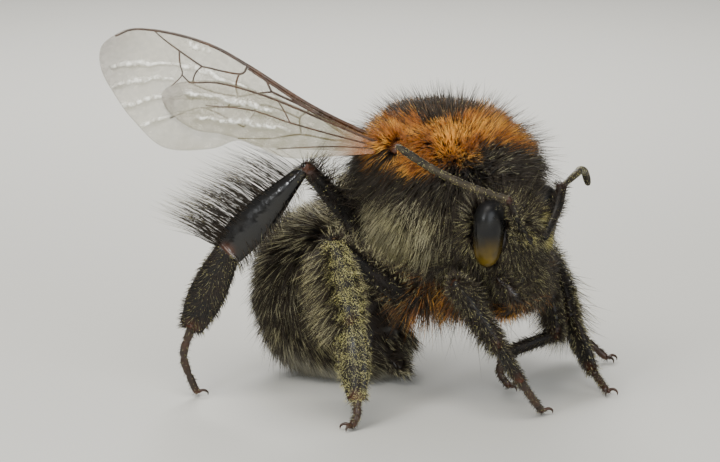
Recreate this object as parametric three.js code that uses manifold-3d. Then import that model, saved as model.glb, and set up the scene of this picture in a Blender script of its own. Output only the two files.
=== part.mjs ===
// A tree bumblebee worker, life size, as a still museum model.
// Millimetres, +Z up, +X towards the head, +Y to the bee's left.
// Every solid reaches out to the tips of the coat it carries.
import * as THREE from "three";
import { LoftGeometry } from "three/addons/geometries/LoftGeometry.js";
import { mergeVertices } from "three/addons/utils/BufferGeometryUtils.js";
import Module from "manifold-3d";

const wasm = await Module();
wasm.setup();

// ---------------------------------------------------------------- driving dimensions

const GAP = 0.06; // clearance between neighbouring pieces
const MERGE = 1e-4; // vertices closer than this are one vertex
const BODY_SIDES = 18;
const LIMB_SIDES = 8;
const LIMB_STEPS = 3;
const LIMB_ROUNDING = THREE.MathUtils.degToRad(40); // where on the round end its one ring sits
const CLAW_SIDES = 6;

// Thorax: a square-shouldered egg of fur, a little narrower below, that leans back on top.
const THORAX_HEIGHT = 7.0; // its centre above the ground
const THORAX_HALF = { length: 3.5, width: 3.45, height: 3.4 };
const THORAX_SQUARENESS = 2.3; // 2 would be a plain ellipse from the side
const THORAX_TAPER = 0.14; // share of its width that it loses underneath
const THORAX_LEAN = -0.5; // how far forward the crown stands, so negative is backward
const THORAX_ROWS = 10;

// Head: hangs in front of the thorax, face upright, turned a little to the left.
const HEAD_CENTRE = new THREE.Vector3(2.78, -0.3, 5.55);
const HEAD_TURN = THREE.MathUtils.degToRad(5);
const HEAD_BOTTOM = -1.88;
const HEAD_TOP = 1.86;
const HEAD_ROWS = 9;
const HEAD_WIDTH = profile(0.55, 0.95, 1.28, 1.62, 1.92, 2.08, 2.05, 1.78, 0.75);
const HEAD_FRONT = profile(0.85, 1.25, 1.42, 1.48, 1.5, 1.5, 1.42, 1.15, 0.4);
const HEAD_BACK = profile(0.3, 0.7, 0.95, 1.15, 1.3, 1.4, 1.45, 1.3, 0.6);

// Eyes: upright teardrops on the sides of the head, broad end up.
const EYE_CENTRE = { front: 0.42, out: 1.5, up: 0.6 };
const EYE_HALF_HEIGHT = 1.22;
const EYE_LENGTH = profile(0.2, 0.36, 0.43, 0.5, 0.56, 0.58, 0.54, 0.42, 0.18);
const EYE_DEPTH = profile(0.22, 0.42, 0.52, 0.58, 0.62, 0.62, 0.58, 0.46, 0.2);
const EYE_ROWS = 7;
const EYE_SIDES = 10;

// Abdomen: a fan of cross-sections between a long back line and a short belly line,
// hanging behind the thorax and curled forwards until it rests on the ground.
const BACK_LINE = [
  [-2.3, 5.95], [-4.3, 6.0], [-6.05, 5.5], [-7.25, 4.4], [-7.7, 2.9],
  [-7.4, 1.15], [-6.25, 0.1], [-4.5, -0.08], [-2.95, 0.12],
];
const BELLY_LINE = [
  [-2.1, 5.0], [-2.1, 4.7], [-2.15, 4.4], [-2.2, 4.1], [-2.25, 3.8],
  [-2.3, 3.4], [-2.35, 2.9], [-2.3, 2.3], [-2.1, 1.6],
];
const ABDOMEN_WIDTH = profile(1.7, 2.6, 3.1, 3.3, 3.3, 3.1, 2.65, 1.95, 1.0);
const SEGMENT_ENDS = [0, 0.17, 0.36, 0.54, 0.71, 0.87, 1];
const SEGMENT_ROWS = 4;
const SEGMENT_BULGE = 0.025; // how much each ring swells between its two joints
const SEGMENT_GAP = 0.004; // share of the abdomen's line left open at each joint
const TIP_ROUNDING = 0.7; // how far the last ring bulges past its joint

// Antennae: a straight scape from the face, then a longer, bent flagellum.
const SCAPE_HALF = profile(0.3, 0.26, 0.25, 0.28);
const FLAGELLUM_HALF = profile(0.25, 0.27, 0.28, 0.27, 0.25);
const FLAGELLUM_STEPS = 8;
const ANTENNAE = {
  right: {
    socket: [1.25, -0.45, 0.4],
    elbow: at(4.49, -2.15, 7.62),
    flagellum: [at(4.49, -2.15, 7.62), at(3.55, -2.95, 8.02), at(2.55, -3.7, 8.6), at(1.55, -4.26, 9.28)],
  },
  left: {
    socket: [1.25, 0.45, 0.4],
    elbow: at(3.61, 1.57, 7.35),
    flagellum: [
      at(3.61, 1.57, 7.35), at(3.4, 2.6, 7.62), at(2.87, 3.39, 7.54), at(2.4, 4.2, 7.3), at(2.18, 4.65, 6.8),
    ],
  },
};

// Wings: thin cambered blades. Outlines run in the blade's own plane, first number along
// the wing from its root, second number towards the trailing edge.
const WING_THICKNESS = 0.5;
const WING_CAMBER = 0.16; // how far the middle of the blade bows out of its plane
const WING_CAMBER_SPAN = 10.37; // fore- and hindwing are hooked together, so they bow as one sheet
const WING_CAMBER_ACROSS = { middle: 0.3, fall: 0.15 };
const WING_ROWS = 13;
const WING_COLUMNS = 4;
const WING_GRIP = 0.3; // how far the real hindwing lies under the forewing, where the two are hooked
const WING_EDGE = 0.012; // how far from its tip, in shares of its length, a blade is cut off
const OUTLINE_STEPS = 160;
const FOREWING = {
  leading: [[0, -0.2], [2.9, -0.48], [5.57, -1.12], [6.9, -1.36], [8.3, -1.32], [9.6, -1.0], [10.2, -0.42]],
  tip: [10.36, 0.1],
  trailing: [
    [10.05, 0.75], [9.4, 1.35], [8.53, 1.97], [7.2, 2.53], [5.75, 2.07], [5.0, 1.5], [4.22, 1.46],
    [2.9, 1.05], [1.07, 0.48], [0, 0.3],
  ],
};
const HINDWING = {
  leading: [[0, -0.15], [2.0, -0.25], [4.0, -0.35], [5.6, -0.25], [6.8, 0.2]],
  tip: [7.3, 0.75],
  trailing: [
    [6.9, 1.3], [5.9, 1.6], [5.0, 1.45], [4.0, 1.4], [3.1, 1.5], [2.3, 1.35], [1.2, 0.85], [0, 0.3],
  ],
};
const WING_ROOT = { forward: -0.4, out: 2.2, up: 8.6 };
const WINGS = {
  right: { span: at(-0.797, -0.521, 0.305), edge: at(0.1, -0.53, -0.84) },
  left: { span: at(-0.78, 0.37, -0.5), edge: at(-0.6, -0.42, 0.66) },
};
const HINDWING_SHIFT = { along: 0.55, across: 0.12 };

// Legs: the half-sizes of each length of leg, broad way first, from its upper to its lower end.
const LEG_FORMS = {
  fore: {
    femur: [profile(0.5, 0.5, 0.46, 0.4, 0.3), profile(0.42, 0.42, 0.38, 0.34, 0.28)],
    tibia: [profile(0.28, 0.36, 0.4, 0.38, 0.3), profile(0.28, 0.32, 0.32, 0.3, 0.28)],
    basitarsus: [profile(0.27, 0.3, 0.28), profile(0.25, 0.26, 0.25)],
    tarsus: [profile(0.25, 0.26, 0.26), profile(0.25, 0.25, 0.25)],
  },
  mid: {
    femur: [profile(0.5, 0.5, 0.48, 0.42, 0.32), profile(0.42, 0.42, 0.4, 0.36, 0.3)],
    tibia: [profile(0.34, 0.58, 0.68, 0.64, 0.5), profile(0.28, 0.38, 0.42, 0.38, 0.3)],
    basitarsus: [profile(0.46, 0.6, 0.42), profile(0.26, 0.28, 0.26)],
    tarsus: [profile(0.26, 0.28, 0.26), profile(0.25, 0.25, 0.25)],
  },
  hind: {
    femur: [profile(0.5, 0.52, 0.48, 0.4, 0.32), profile(0.44, 0.42, 0.38, 0.34, 0.3)],
    tibia: [profile(0.3, 0.48, 0.64, 0.7, 0.6), profile(0.26, 0.28, 0.3, 0.3, 0.27)],
    basitarsus: [profile(0.5, 0.64, 0.68, 0.5), profile(0.26, 0.28, 0.28, 0.26)],
    tarsus: [profile(0.26, 0.27, 0.25), profile(0.25, 0.25, 0.25)],
  },
};

// Each leg by its joints: inside the body, trochanter, knee, ankle, end of the long
// first foot segment, bend of the foot, and the point on the ground. flat is the way
// that the broad side of the tibia and foot faces.
const LEGS = [
  {
    name: "leg_fore_right", form: "fore", flat: at(0.3, -1, 0.2),
    joints: [at(1.3, -0.8, 4.5), at(2.0, -0.95, 3.7), at(2.85, -2.82, 4.63), at(3.98, -2.07, 2.66),
      at(4.32, -1.36, 1.41), at(4.42, -0.8, 0.7), at(4.32, -0.21, 0)],
  },
  {
    name: "leg_fore_left", form: "fore", flat: at(0.3, 1, 0.2),
    joints: [at(1.3, 0.8, 4.5), at(2.0, 1.0, 3.8), at(1.67, 3.12, 4.0), at(2.3, 2.88, 1.92),
      at(0.96, 1.67, 1.24), at(0.95, 1.6, 0.6), at(1.22, 1.74, 0)],
  },
  {
    name: "leg_mid_right", form: "mid", flat: at(0.5, -1, 0.1),
    joints: [at(0.2, -1.0, 4.5), at(0.19, -1.85, 3.6), at(-0.71, -4.94, 5.86), at(0.4, -5.3, 3.45),
      at(1.0, -5.66, 1.04), at(1.12, -5.78, 0.5), at(1.05, -5.95, 0)],
  },
  {
    name: "leg_mid_left", form: "mid", flat: at(0.3, 1, 0.2),
    joints: [at(0.2, 1.0, 4.5), at(0.25, 1.9, 3.6), at(0.53, 4.79, 3.95), at(2.04, 3.86, 2.24),
      at(3.2, 3.7, 0.72), at(3.65, 3.6, 0.38), at(4.07, 3.45, 0)],
  },
  {
    name: "leg_hind_right", form: "hind", flat: at(0.55, -0.8, 0.15),
    joints: [at(-1.5, -0.9, 4.9), at(-1.85, -1.8, 5.4), at(-2.28, -4.53, 8.13), at(-4.42, -6.0, 5.26),
      at(-5.58, -6.55, 2.6), at(-6.05, -6.45, 1.45), at(-6.0, -5.9, 0)],
  },
  {
    name: "leg_hind_left", form: "hind", flat: at(-0.3, 1, 0.2),
    joints: [at(-1.5, 0.9, 4.9), at(-1.85, 1.7, 4.9), at(-2.6, 5.0, 5.9), at(-1.5, 6.9, 3.1),
      at(-0.5, 6.9, 1.2), at(0.39, 6.85, 0.7), at(0.98, 7.14, 0)],
  },
];
const LEG_PARTS = ["femur", "tibia", "basitarsus", "tarsus"];
const LEG_PART_JOINTS = { femur: [0, 2], tibia: [2, 3], basitarsus: [3, 4], tarsus: [4, 6] };
const SOLE_LIFT = 0.21; // the foot's centre line above the ground, less than its half-thickness
const CLAW_LENGTH = 0.5;
const CLAW_SPREAD = 0.35;
const CLAW_HALF = profile(0.14, 0.12, 0.08);
const CLAW_TIP_LIFT = 0.1; // height of the claw's point above the ground

// Mouth: two closed jaws and the folded tongue behind them.
const JAW_LINE = [[0.5, 1.2, -0.85], [0.98, 0.8, -1.4], [1.2, 0.2, -1.72]];
const JAW_HALF = [profile(0.3, 0.3, 0.2), profile(0.25, 0.24, 0.16)];
const TONGUE_LINE = [[0.75, 0, -1.8], [0.1, 0, -2.2], [-0.7, 0, -2.1]];
const TONGUE_HALF = [profile(0.4, 0.34, 0.25), profile(0.26, 0.26, 0.25)];

// Tegulae: the little shells that cover the wing roots.
const TEGULA_LINE = [at(0.25, -2.6, 8.75), at(-0.35, -2.72, 8.95)];
const TEGULA_HALF = [profile(0.3, 0.42, 0.3), profile(0.3, 0.34, 0.3)];

const COLOURS = {
  darkFur: "#3a332a",
  gingerFur: "#a8642a",
  faceFur: "#4a3f30",
  paleFur: "#cfc4ae",
  shell: "#15120f",
  brownShell: "#3a2417",
  eye: "#1c1b16",
  antenna: "#4f4236",
  wing: "#8d8a62",
  mouth: "#6b3d1f",
};

// ---------------------------------------------------------------- shape helpers

function at(x, y, z) {
  return new THREE.Vector3(x, y, z);
}

// A smooth function of t, from 0 to 1, through evenly spaced values.
function profile(...values) {
  const curve = new THREE.SplineCurve(values.map((value, k) => new THREE.Vector2(k, value)));
  return (t) => curve.getPoint(t).y;
}

function mirrored(point) {
  return at(point.x, -point.y, point.z);
}

// A closed geometry as a manifold-3d solid, with its shared vertices merged.
function solidOf(geometry) {
  const bare = new THREE.BufferGeometry();
  bare.setAttribute("position", geometry.getAttribute("position"));
  bare.setIndex(geometry.getIndex());
  const merged = mergeVertices(bare, MERGE);
  return new wasm.Manifold(
    new wasm.Mesh({
      numProp: 3,
      vertProperties: merged.attributes.position.array,
      triVerts: new Uint32Array(merged.index.array),
    }),
  );
}

// An oval ring of points. back makes its rear half shallower or deeper than its front half.
function ring(centre, side, up, sides = BODY_SIDES, back = 1) {
  return Array.from({ length: sides }, (_, k) => {
    const angle = (2 * Math.PI * (k + 0.5)) / sides;
    const reach = Math.cos(angle) * (Math.cos(angle) < 0 ? back : 1);
    return centre.clone().addScaledVector(side, reach).addScaledVector(up, Math.sin(angle));
  });
}

function loft(rings) {
  return solidOf(new LoftGeometry(rings, { capStart: true, capEnd: true }));
}

// A limb with rounded ends along a line of points. wide and thick give its half-sizes,
// and flat is the way that its broad side faces.
function limb(points, [wide, thick], flat, swell = 0, steps = LIMB_STEPS, sides = LIMB_SIDES) {
  const curve = points.length > 2 ? new THREE.CatmullRomCurve3(points) : new THREE.LineCurve3(...points);
  const ringAt = (t, ahead, share) => {
    const axis = curve.getTangentAt(t);
    const up = flat.clone().addScaledVector(axis, -flat.dot(axis)).normalize();
    const side = new THREE.Vector3().crossVectors(up, axis);
    const centre = curve.getPointAt(t).addScaledVector(axis, ahead * (thick(t) + swell));
    side.multiplyScalar(share * (wide(t) + swell));
    up.multiplyScalar(share * (thick(t) + swell));
    return ring(centre, side, up, sides);
  };
  const rings = [ringAt(0, -Math.cos(LIMB_ROUNDING), Math.sin(LIMB_ROUNDING))];
  for (let k = 0; k <= steps; k++) rings.push(ringAt(k / steps, 0, 1));
  rings.push(ringAt(1, Math.cos(LIMB_ROUNDING), Math.sin(LIMB_ROUNDING)));
  return loft(rings);
}

// The body that is left when every one of the others is cut away, and any loose chips dropped.
function cutBy(solid, ...others) {
  const left = others.reduce((rest, other) => rest.subtract(other), solid);
  return left.decompose().sort((a, b) => b.volume() - a.volume())[0];
}

// Only what is above the ground stays, which leaves a small flat where the piece stands.
function aboveGround(solid) {
  const room = 40;
  const box = new THREE.BoxGeometry(room, room, room).translate(0, 0, room / 2);
  return solid.intersect(solidOf(box));
}

const bee = new THREE.Group();

function addPiece(name, solid, colour, roughness) {
  const { vertProperties, triVerts } = solid.getMesh();
  const geometry = new THREE.BufferGeometry();
  geometry.setAttribute("position", new THREE.BufferAttribute(new Float32Array(vertProperties), 3));
  geometry.setIndex(new THREE.BufferAttribute(new Uint32Array(triVerts), 1));
  geometry.computeVertexNormals();
  const material = new THREE.MeshStandardMaterial({ color: colour, roughness, metalness: 0 });
  const mesh = new THREE.Mesh(geometry, material);
  mesh.name = name;
  bee.add(mesh);
}

// ---------------------------------------------------------------- thorax and head

function thoraxBody(swell = 0) {
  const rings = [];
  const last = 0.985; // the first and last rings are small flat caps, just short of the poles
  for (let row = 0; row <= THORAX_ROWS; row++) {
    const level = -Math.cos((Math.PI * row) / THORAX_ROWS) * last;
    const round = (1 - Math.abs(level) ** THORAX_SQUARENESS) ** (1 / THORAX_SQUARENESS);
    const share = round * (1 - THORAX_TAPER * Math.max(0, -level));
    const lean = THORAX_LEAN * Math.max(0, level) ** 2;
    const centre = at(lean, 0, THORAX_HEIGHT + level * (THORAX_HALF.height + swell));
    const front = at(share * THORAX_HALF.length + swell, 0, 0);
    const left = at(0, share * THORAX_HALF.width + swell, 0);
    rings.push(ring(centre, front, left));
  }
  return loft(rings);
}

// A direction of the head: forwards, to its left and up.
function headWay(front, left, up) {
  return at(front, left, up).applyAxisAngle(at(0, 0, 1), HEAD_TURN);
}

// A point of the head, counted from its centre.
function onHead(front, left, up) {
  return headWay(front, left, up).add(HEAD_CENTRE);
}

function headBody() {
  const rings = [];
  for (let row = 0; row <= HEAD_ROWS; row++) {
    const t = row / HEAD_ROWS;
    const centre = onHead(0, 0, THREE.MathUtils.lerp(HEAD_BOTTOM, HEAD_TOP, t));
    const front = headWay(HEAD_FRONT(t), 0, 0);
    const left = headWay(0, HEAD_WIDTH(t), 0);
    rings.push(ring(centre, front, left, BODY_SIDES, HEAD_BACK(t) / HEAD_FRONT(t)));
  }
  return loft(rings);
}

function eyeBody(out, swell = 0) {
  const rings = [];
  for (let row = 0; row <= EYE_ROWS; row++) {
    const t = row / EYE_ROWS;
    const up = EYE_CENTRE.up + THREE.MathUtils.lerp(-1, 1, t) * (EYE_HALF_HEIGHT + swell);
    const centre = onHead(EYE_CENTRE.front, out * EYE_CENTRE.out, up);
    const front = headWay(EYE_LENGTH(t) + swell, 0, 0);
    const left = headWay(0, EYE_DEPTH(t) + swell, 0);
    rings.push(ring(centre, front, left, EYE_SIDES));
  }
  return loft(rings);
}

function jaw(out, swell = 0) {
  const line = JAW_LINE.map(([front, left, up]) => onHead(front, out * left, up));
  return limb(line, JAW_HALF, headWay(1, out * 0.6, 0), swell);
}

function tongue(swell = 0) {
  const line = TONGUE_LINE.map(([front, left, up]) => onHead(front, left, up));
  return limb(line, TONGUE_HALF, at(0, 0, 1), swell);
}

function scape({ socket, elbow }, swell = 0) {
  return limb([onHead(...socket), elbow], [SCAPE_HALF, SCAPE_HALF], at(0, 0, 1), swell);
}

function flagellum({ flagellum: line }, swell = 0) {
  return limb(line, [FLAGELLUM_HALF, FLAGELLUM_HALF], at(0, 0, 1), swell, FLAGELLUM_STEPS);
}

function tegula(out, swell = 0) {
  const line = out < 0 ? TEGULA_LINE : TEGULA_LINE.map(mirrored).reverse();
  return limb(line, TEGULA_HALF, at(0, out, 0.7), swell, 2);
}

const SIDES = { right: -1, left: 1 };
const thoraxRoom = thoraxBody(GAP);
const headRoom = [thoraxRoom, tongue(GAP)];
for (const [side, out] of Object.entries(SIDES)) {
  headRoom.push(eyeBody(out, GAP), jaw(out, GAP), scape(ANTENNAE[side], GAP));
}
const tegulaRoom = Object.values(SIDES).map((out) => tegula(out, GAP));
const jawRoom = Object.values(SIDES).map((out) => jaw(out, GAP));
addPiece("thorax", cutBy(thoraxBody(), ...tegulaRoom), COLOURS.gingerFur, 0.95);
addPiece("head", cutBy(headBody(), ...headRoom), COLOURS.faceFur, 0.9);
addPiece("proboscis", cutBy(tongue(), thoraxRoom, ...jawRoom), COLOURS.mouth, 0.5);
for (const [side, out] of Object.entries(SIDES)) {
  const antenna = ANTENNAE[side];
  addPiece(`eye_${side}`, cutBy(eyeBody(out), thoraxRoom), COLOURS.eye, 0.12);
  addPiece(`mandible_${side}`, cutBy(jaw(out), eyeBody(out, GAP)), COLOURS.shell, 0.3);
  addPiece(`scape_${side}`, cutBy(scape(antenna), eyeBody(out, GAP)), COLOURS.shell, 0.35);
  addPiece(`flagellum_${side}`, cutBy(flagellum(antenna), scape(antenna, GAP)), COLOURS.antenna, 0.6);
  addPiece(`tegula_${side}`, tegula(out), COLOURS.brownShell, 0.35);
}

// ---------------------------------------------------------------- abdomen

const backCurve = new THREE.CatmullRomCurve3(BACK_LINE.map(([x, z]) => at(x, 0, z)));
const bellyCurve = new THREE.CatmullRomCurve3(BELLY_LINE.map(([x, z]) => at(x, 0, z)));

function abdomenRing(t, share = 1, ahead = 0) {
  const back = backCurve.getPoint(t);
  const belly = bellyCurve.getPoint(t);
  const centre = back.clone().add(belly).multiplyScalar(0.5);
  const up = back.clone().sub(belly).multiplyScalar(0.5 * share);
  const side = at(0, -ABDOMEN_WIDTH(t) * share, 0);
  const along = new THREE.Vector3().crossVectors(side, up).normalize();
  return ring(centre.addScaledVector(along, ahead), side, up);
}

function abdomenSegment(start, end) {
  const rings = [];
  for (let row = 0; row <= SEGMENT_ROWS; row++) {
    const way = row / SEGMENT_ROWS;
    const bulge = 1 + SEGMENT_BULGE * Math.sin(Math.PI * way);
    rings.push(abdomenRing(THREE.MathUtils.lerp(start, end, way), bulge));
  }
  if (end === 1) {
    rings.push(abdomenRing(1, 0.85, 0.6 * TIP_ROUNDING));
    rings.push(abdomenRing(1, 0.45, TIP_ROUNDING));
  }
  return loft(rings);
}

function legPart(leg, part, swell = 0) {
  const [first, last] = LEG_PART_JOINTS[part];
  const line = leg.joints.slice(first, last + 1).map((point) => point.clone());
  if (part === "tarsus") line[line.length - 1].z += SOLE_LIFT;
  return limb(line, LEG_FORMS[leg.form][part], leg.flat, swell);
}

const hindLegs = LEGS.filter((leg) => leg.form === "hind");
const abdomenRoom = [thoraxRoom, ...hindLegs.map((leg) => legPart(leg, "femur", GAP))];
for (let k = 1; k < SEGMENT_ENDS.length; k++) {
  const start = SEGMENT_ENDS[k - 1] + SEGMENT_GAP;
  const end = k === SEGMENT_ENDS.length - 1 ? 1 : SEGMENT_ENDS[k] - SEGMENT_GAP;
  const colour = k === SEGMENT_ENDS.length - 1 ? COLOURS.paleFur : COLOURS.darkFur;
  const segment = cutBy(abdomenSegment(start, end), ...abdomenRoom);
  addPiece(`abdomen_segment_${k}`, aboveGround(segment), colour, 0.9);
}

// ---------------------------------------------------------------- wings

// Where a row of points, sorted by its first number, has the given first number.
function readAt(points, along) {
  const next = Math.max(1, points.findIndex((point) => point.x >= along));
  const [a, b] = [points[next - 1], points[next]];
  return THREE.MathUtils.mapLinear(along, a.x, b.x, a.y, b.y);
}

// Sections from root to tip, each a thin closed ring between the leading and the trailing edge.
function wingBlade({ leading, tip, trailing }, out) {
  const line = [...leading, tip, ...trailing].map(([along, across]) => new THREE.Vector2(along, across));
  const outline = new THREE.SplineCurve(line).getPoints(OUTLINE_STEPS);
  const end = outline.reduce((best, point, k) => (point.x > outline[best].x ? k : best), 0);
  const front = outline.slice(0, end + 1);
  const rear = outline.slice(end).reverse();
  const length = outline[end].x;
  const rings = [];
  for (let row = 0; row <= WING_ROWS; row++) {
    const along = length * Math.min(1 - (1 - row / WING_ROWS) ** 1.5, 1 - WING_EDGE);
    const camber = WING_CAMBER * Math.sin((Math.PI * along) / WING_CAMBER_SPAN);
    const section = (column, half) => {
      const across = THREE.MathUtils.lerp(readAt(front, along), readAt(rear, along), column / WING_COLUMNS);
      const fall = WING_CAMBER_ACROSS.fall * (across - WING_CAMBER_ACROSS.middle) ** 2;
      return at(along, across, out * camber * (1 - fall) + half);
    };
    const columns = Array.from({ length: WING_COLUMNS + 1 }, (_, column) => column);
    const top = columns.map((column) => section(column, WING_THICKNESS / 2));
    const bottom = columns.map((column) => section(column, -WING_THICKNESS / 2)).reverse();
    rings.push([...top, ...bottom].reverse());
  }
  return loft(rings);
}

// The matrix that lays a blade along its span with its trailing edge the given way.
function wingPlace(side, shift, offset) {
  const { span, edge } = WINGS[side];
  const along = span.clone().normalize();
  const across = edge.clone().addScaledVector(along, -edge.dot(along)).normalize();
  const normal = new THREE.Vector3().crossVectors(along, across);
  const root = at(WING_ROOT.forward, SIDES[side] * WING_ROOT.out, WING_ROOT.up);
  root.addScaledVector(along, shift.along).addScaledVector(across, shift.across);
  root.addScaledVector(normal, offset);
  return new THREE.Matrix4().makeBasis(along, across, normal).setPosition(root);
}

// The real films lie closer together than two solid blades can, so each blade gives way by half.
const yielded = (WING_THICKNESS + GAP - WING_GRIP) / 2;
for (const [side, out] of Object.entries(SIDES)) {
  const room = [thoraxRoom, tegula(out, GAP)];
  const still = { along: 0, across: 0 };
  const over = wingPlace(side, still, out * yielded);
  const under = wingPlace(side, HINDWING_SHIFT, -out * (WING_GRIP + yielded));
  const fore = wingBlade(FOREWING, -out).transform(over.elements);
  const hind = wingBlade(HINDWING, -out).transform(under.elements);
  addPiece(`forewing_${side}`, cutBy(fore, ...room), COLOURS.wing, 0.25);
  addPiece(`hindwing_${side}`, cutBy(hind, ...room), COLOURS.wing, 0.25);
}

// ---------------------------------------------------------------- legs

// The pair of claws spreads forwards from the end of the foot and rests on the ground.
function claws(leg) {
  const foot = leg.joints[6];
  const heading = foot.clone().sub(leg.joints[5]).setZ(0).normalize();
  const aside = at(-heading.y, heading.x, 0);
  return [-1, 1].map((way) => {
    const root = foot.clone().setZ(SOLE_LIFT + 0.05);
    const knuckle = root.clone().addScaledVector(heading, 0.6 * CLAW_LENGTH);
    knuckle.addScaledVector(aside, 0.8 * way * CLAW_SPREAD);
    const point = root.clone().addScaledVector(heading, CLAW_LENGTH);
    point.addScaledVector(aside, way * CLAW_SPREAD).setZ(CLAW_TIP_LIFT);
    return limb([root, knuckle, point], [CLAW_HALF, CLAW_HALF], at(0, 0, 1), 0, 2, CLAW_SIDES);
  });
}

for (const leg of LEGS) {
  LEG_PARTS.forEach((part, k) => {
    let solid = legPart(leg, part);
    if (part === "tarsus") {
      solid = claws(leg).reduce((foot, claw) => foot.add(claw), solid);
    }
    const room = part === "femur" ? [thoraxRoom] : [legPart(leg, LEG_PARTS[k - 1], GAP)];
    const colour = part === "tarsus" ? COLOURS.brownShell : COLOURS.shell;
    addPiece(`${leg.name}_${part}`, aboveGround(cutBy(solid, ...room)), colour, 0.4);
  });
}

// ---------------------------------------------------------------- origin

// The model's origin is on the ground, under the middle of everything.
const box = new THREE.Box3().setFromObject(bee);
const middle = box.getCenter(at(0, 0, 0));
bee.position.set(-middle.x, -middle.y, -box.min.z);
const model = new THREE.Group();
model.add(bee);

export default model;
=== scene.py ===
# %% [markdown]
# # A tree bumblebee in its fur
# This lesson dresses a small museum model: a worker of the tree bumblebee, standing with one wing raised.
# The bee's pieces were settled before in plain solids, each as large as the animal with its coat on.
# Here every solid gets its real surface: skin with a coat of fur over it, glossy leg shells, eyes and wings.
# The whole bee is less than 16 mm long and wide, so we think in millimetres, and each piece is changed to
# metres at the moment it is made.

import bpy
import numpy as np
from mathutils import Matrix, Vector


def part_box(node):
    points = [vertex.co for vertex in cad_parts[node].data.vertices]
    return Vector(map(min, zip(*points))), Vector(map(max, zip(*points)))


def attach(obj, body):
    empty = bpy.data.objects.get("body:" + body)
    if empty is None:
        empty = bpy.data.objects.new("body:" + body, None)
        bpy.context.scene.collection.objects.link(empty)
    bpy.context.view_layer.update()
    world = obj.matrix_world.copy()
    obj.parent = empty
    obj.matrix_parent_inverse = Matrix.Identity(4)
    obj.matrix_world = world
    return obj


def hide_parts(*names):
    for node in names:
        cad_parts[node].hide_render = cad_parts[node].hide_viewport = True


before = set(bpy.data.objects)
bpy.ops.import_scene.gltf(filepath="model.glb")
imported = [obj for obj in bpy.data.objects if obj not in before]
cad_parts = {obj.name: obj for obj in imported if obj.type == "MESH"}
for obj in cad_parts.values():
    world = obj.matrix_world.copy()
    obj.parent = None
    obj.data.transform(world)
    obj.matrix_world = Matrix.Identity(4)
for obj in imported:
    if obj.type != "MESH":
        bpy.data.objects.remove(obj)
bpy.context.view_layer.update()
scene = bpy.context.scene
rng = np.random.default_rng(20)
print("solids:", len(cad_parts))

# %% [markdown]
# All shapes are written in the bee's own millimetres. Zero is on the floor, right under the middle of the
# thorax, with x towards the head, y to the bee's left and z up. The thorax solid tells where that point is
# in the frame, so one shift carries every piece to its place.

# %% The bee's own millimetres
MM = 0.001
thorax_low, thorax_high = (np.array(c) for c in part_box("thorax"))
SHIFT = (thorax_low + thorax_high) / 2 * (1, 1, 0)
SIDES = {"right": -1, "left": 1}


def vec(*numbers):
    return np.array(numbers, float)


UP = vec(0, 0, 1)


def unit(v):
    v = np.asarray(v, float)
    return v / np.maximum(np.linalg.norm(v, axis=-1, keepdims=True), 1e-9)


def smooth(low, high, x):
    t = np.clip((x - low) / (high - low), 0, 1)
    return t * t * (3 - 2 * t)


def through(values, t):
    """A smooth curve through evenly spaced values, or points, read at t from 0 to 1."""
    p = np.asarray(values, float)
    p = np.concatenate([[2 * p[0] - p[1]], p, [2 * p[-1] - p[-2]]])
    x = np.clip(np.asarray(t, float), 0, 1) * (len(p) - 3)
    k = np.minimum(x.astype(int), len(p) - 4)
    f = x - k
    if p.ndim > 1:
        f = f[..., None]
    a, b, c, d = (p[k + i] for i in range(4))
    return b + 0.5 * f * (c - a + f * (2 * a - 5 * b + 4 * c - d + f * (3 * (b - c) + d - a)))


print("the bee stands at", SHIFT)

# %% [markdown]
# Two small makers serve every piece. One turns arrays of points and faces into a Blender mesh much faster
# than adding vertices one by one, names the piece and hides the solids it replaces.

# %% Mesh maker
def new_piece(name, points, faces, slot=None, material=None, replaces=(), metres=True, **values):
    """A mesh object from points in bee millimetres and a list of face arrays, three or four corners wide.
    The values are kept on its points, where its material can read them by name."""
    mesh = bpy.data.meshes.new(name)
    corners = np.concatenate([f.ravel() for f in faces]).astype(np.int32)
    sizes = np.concatenate([np.full(len(f), f.shape[1]) for f in faces])
    if metres:
        points = points * MM + SHIFT
    mesh.vertices.add(len(points))
    mesh.vertices.foreach_set("co", points.astype(np.float32).ravel())
    mesh.loops.add(len(corners))
    mesh.loops.foreach_set("vertex_index", corners)
    mesh.polygons.add(len(sizes))
    mesh.polygons.foreach_set("loop_start", (np.cumsum(sizes) - sizes).astype(np.int32))
    mesh.update(calc_edges=True)
    mesh.validate()
    mesh.shade_smooth()
    piece = bpy.data.objects.new(name, mesh)
    scene.collection.objects.link(piece)
    if slot:
        settle(piece, slot, replaces)
    if material:
        mesh.materials.append(material)
    note(piece, **values)
    return piece


def settle(piece, slot, replaces=()):
    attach(piece, "root")
    if replaces:
        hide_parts(*replaces)


def note(piece, **values):
    for name, value in values.items():
        layer = piece.data.attributes.new(name, "FLOAT", "POINT")
        layer.data.foreach_set("value", np.asarray(value, np.float32).ravel())


print("mesh maker ready")

# %% [markdown]
# The other maker is a loft: it skins a row of rings, the way a boat's planks cover its ribs, and closes both
# ends with a fan. Legs, feelers, eyes and body are all lofts, so each of them starts as an array of rings.

# %% Lofts
def loft(rings):
    """Points and faces that skin rings, an array of rows, places around and x, y, z, with closed ends."""
    rows, around = rings.shape[:2]
    points = np.concatenate([rings.reshape(-1, 3), [rings[0].mean(0)], [rings[-1].mean(0)]])
    k = np.arange(around)
    after = (k + 1) % around
    row = (np.arange(rows - 1) * around)[:, None]
    quads = np.stack([row + k, row + after, row + around + after, row + around + k], -1)
    last = (rows - 1) * around
    start = np.stack([after, k, np.full(around, rows * around)], -1)
    end = np.stack([last + k, last + after, np.full(around, rows * around + 1)], -1)
    return points, [quads.reshape(-1, 4), start, end]


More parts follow.
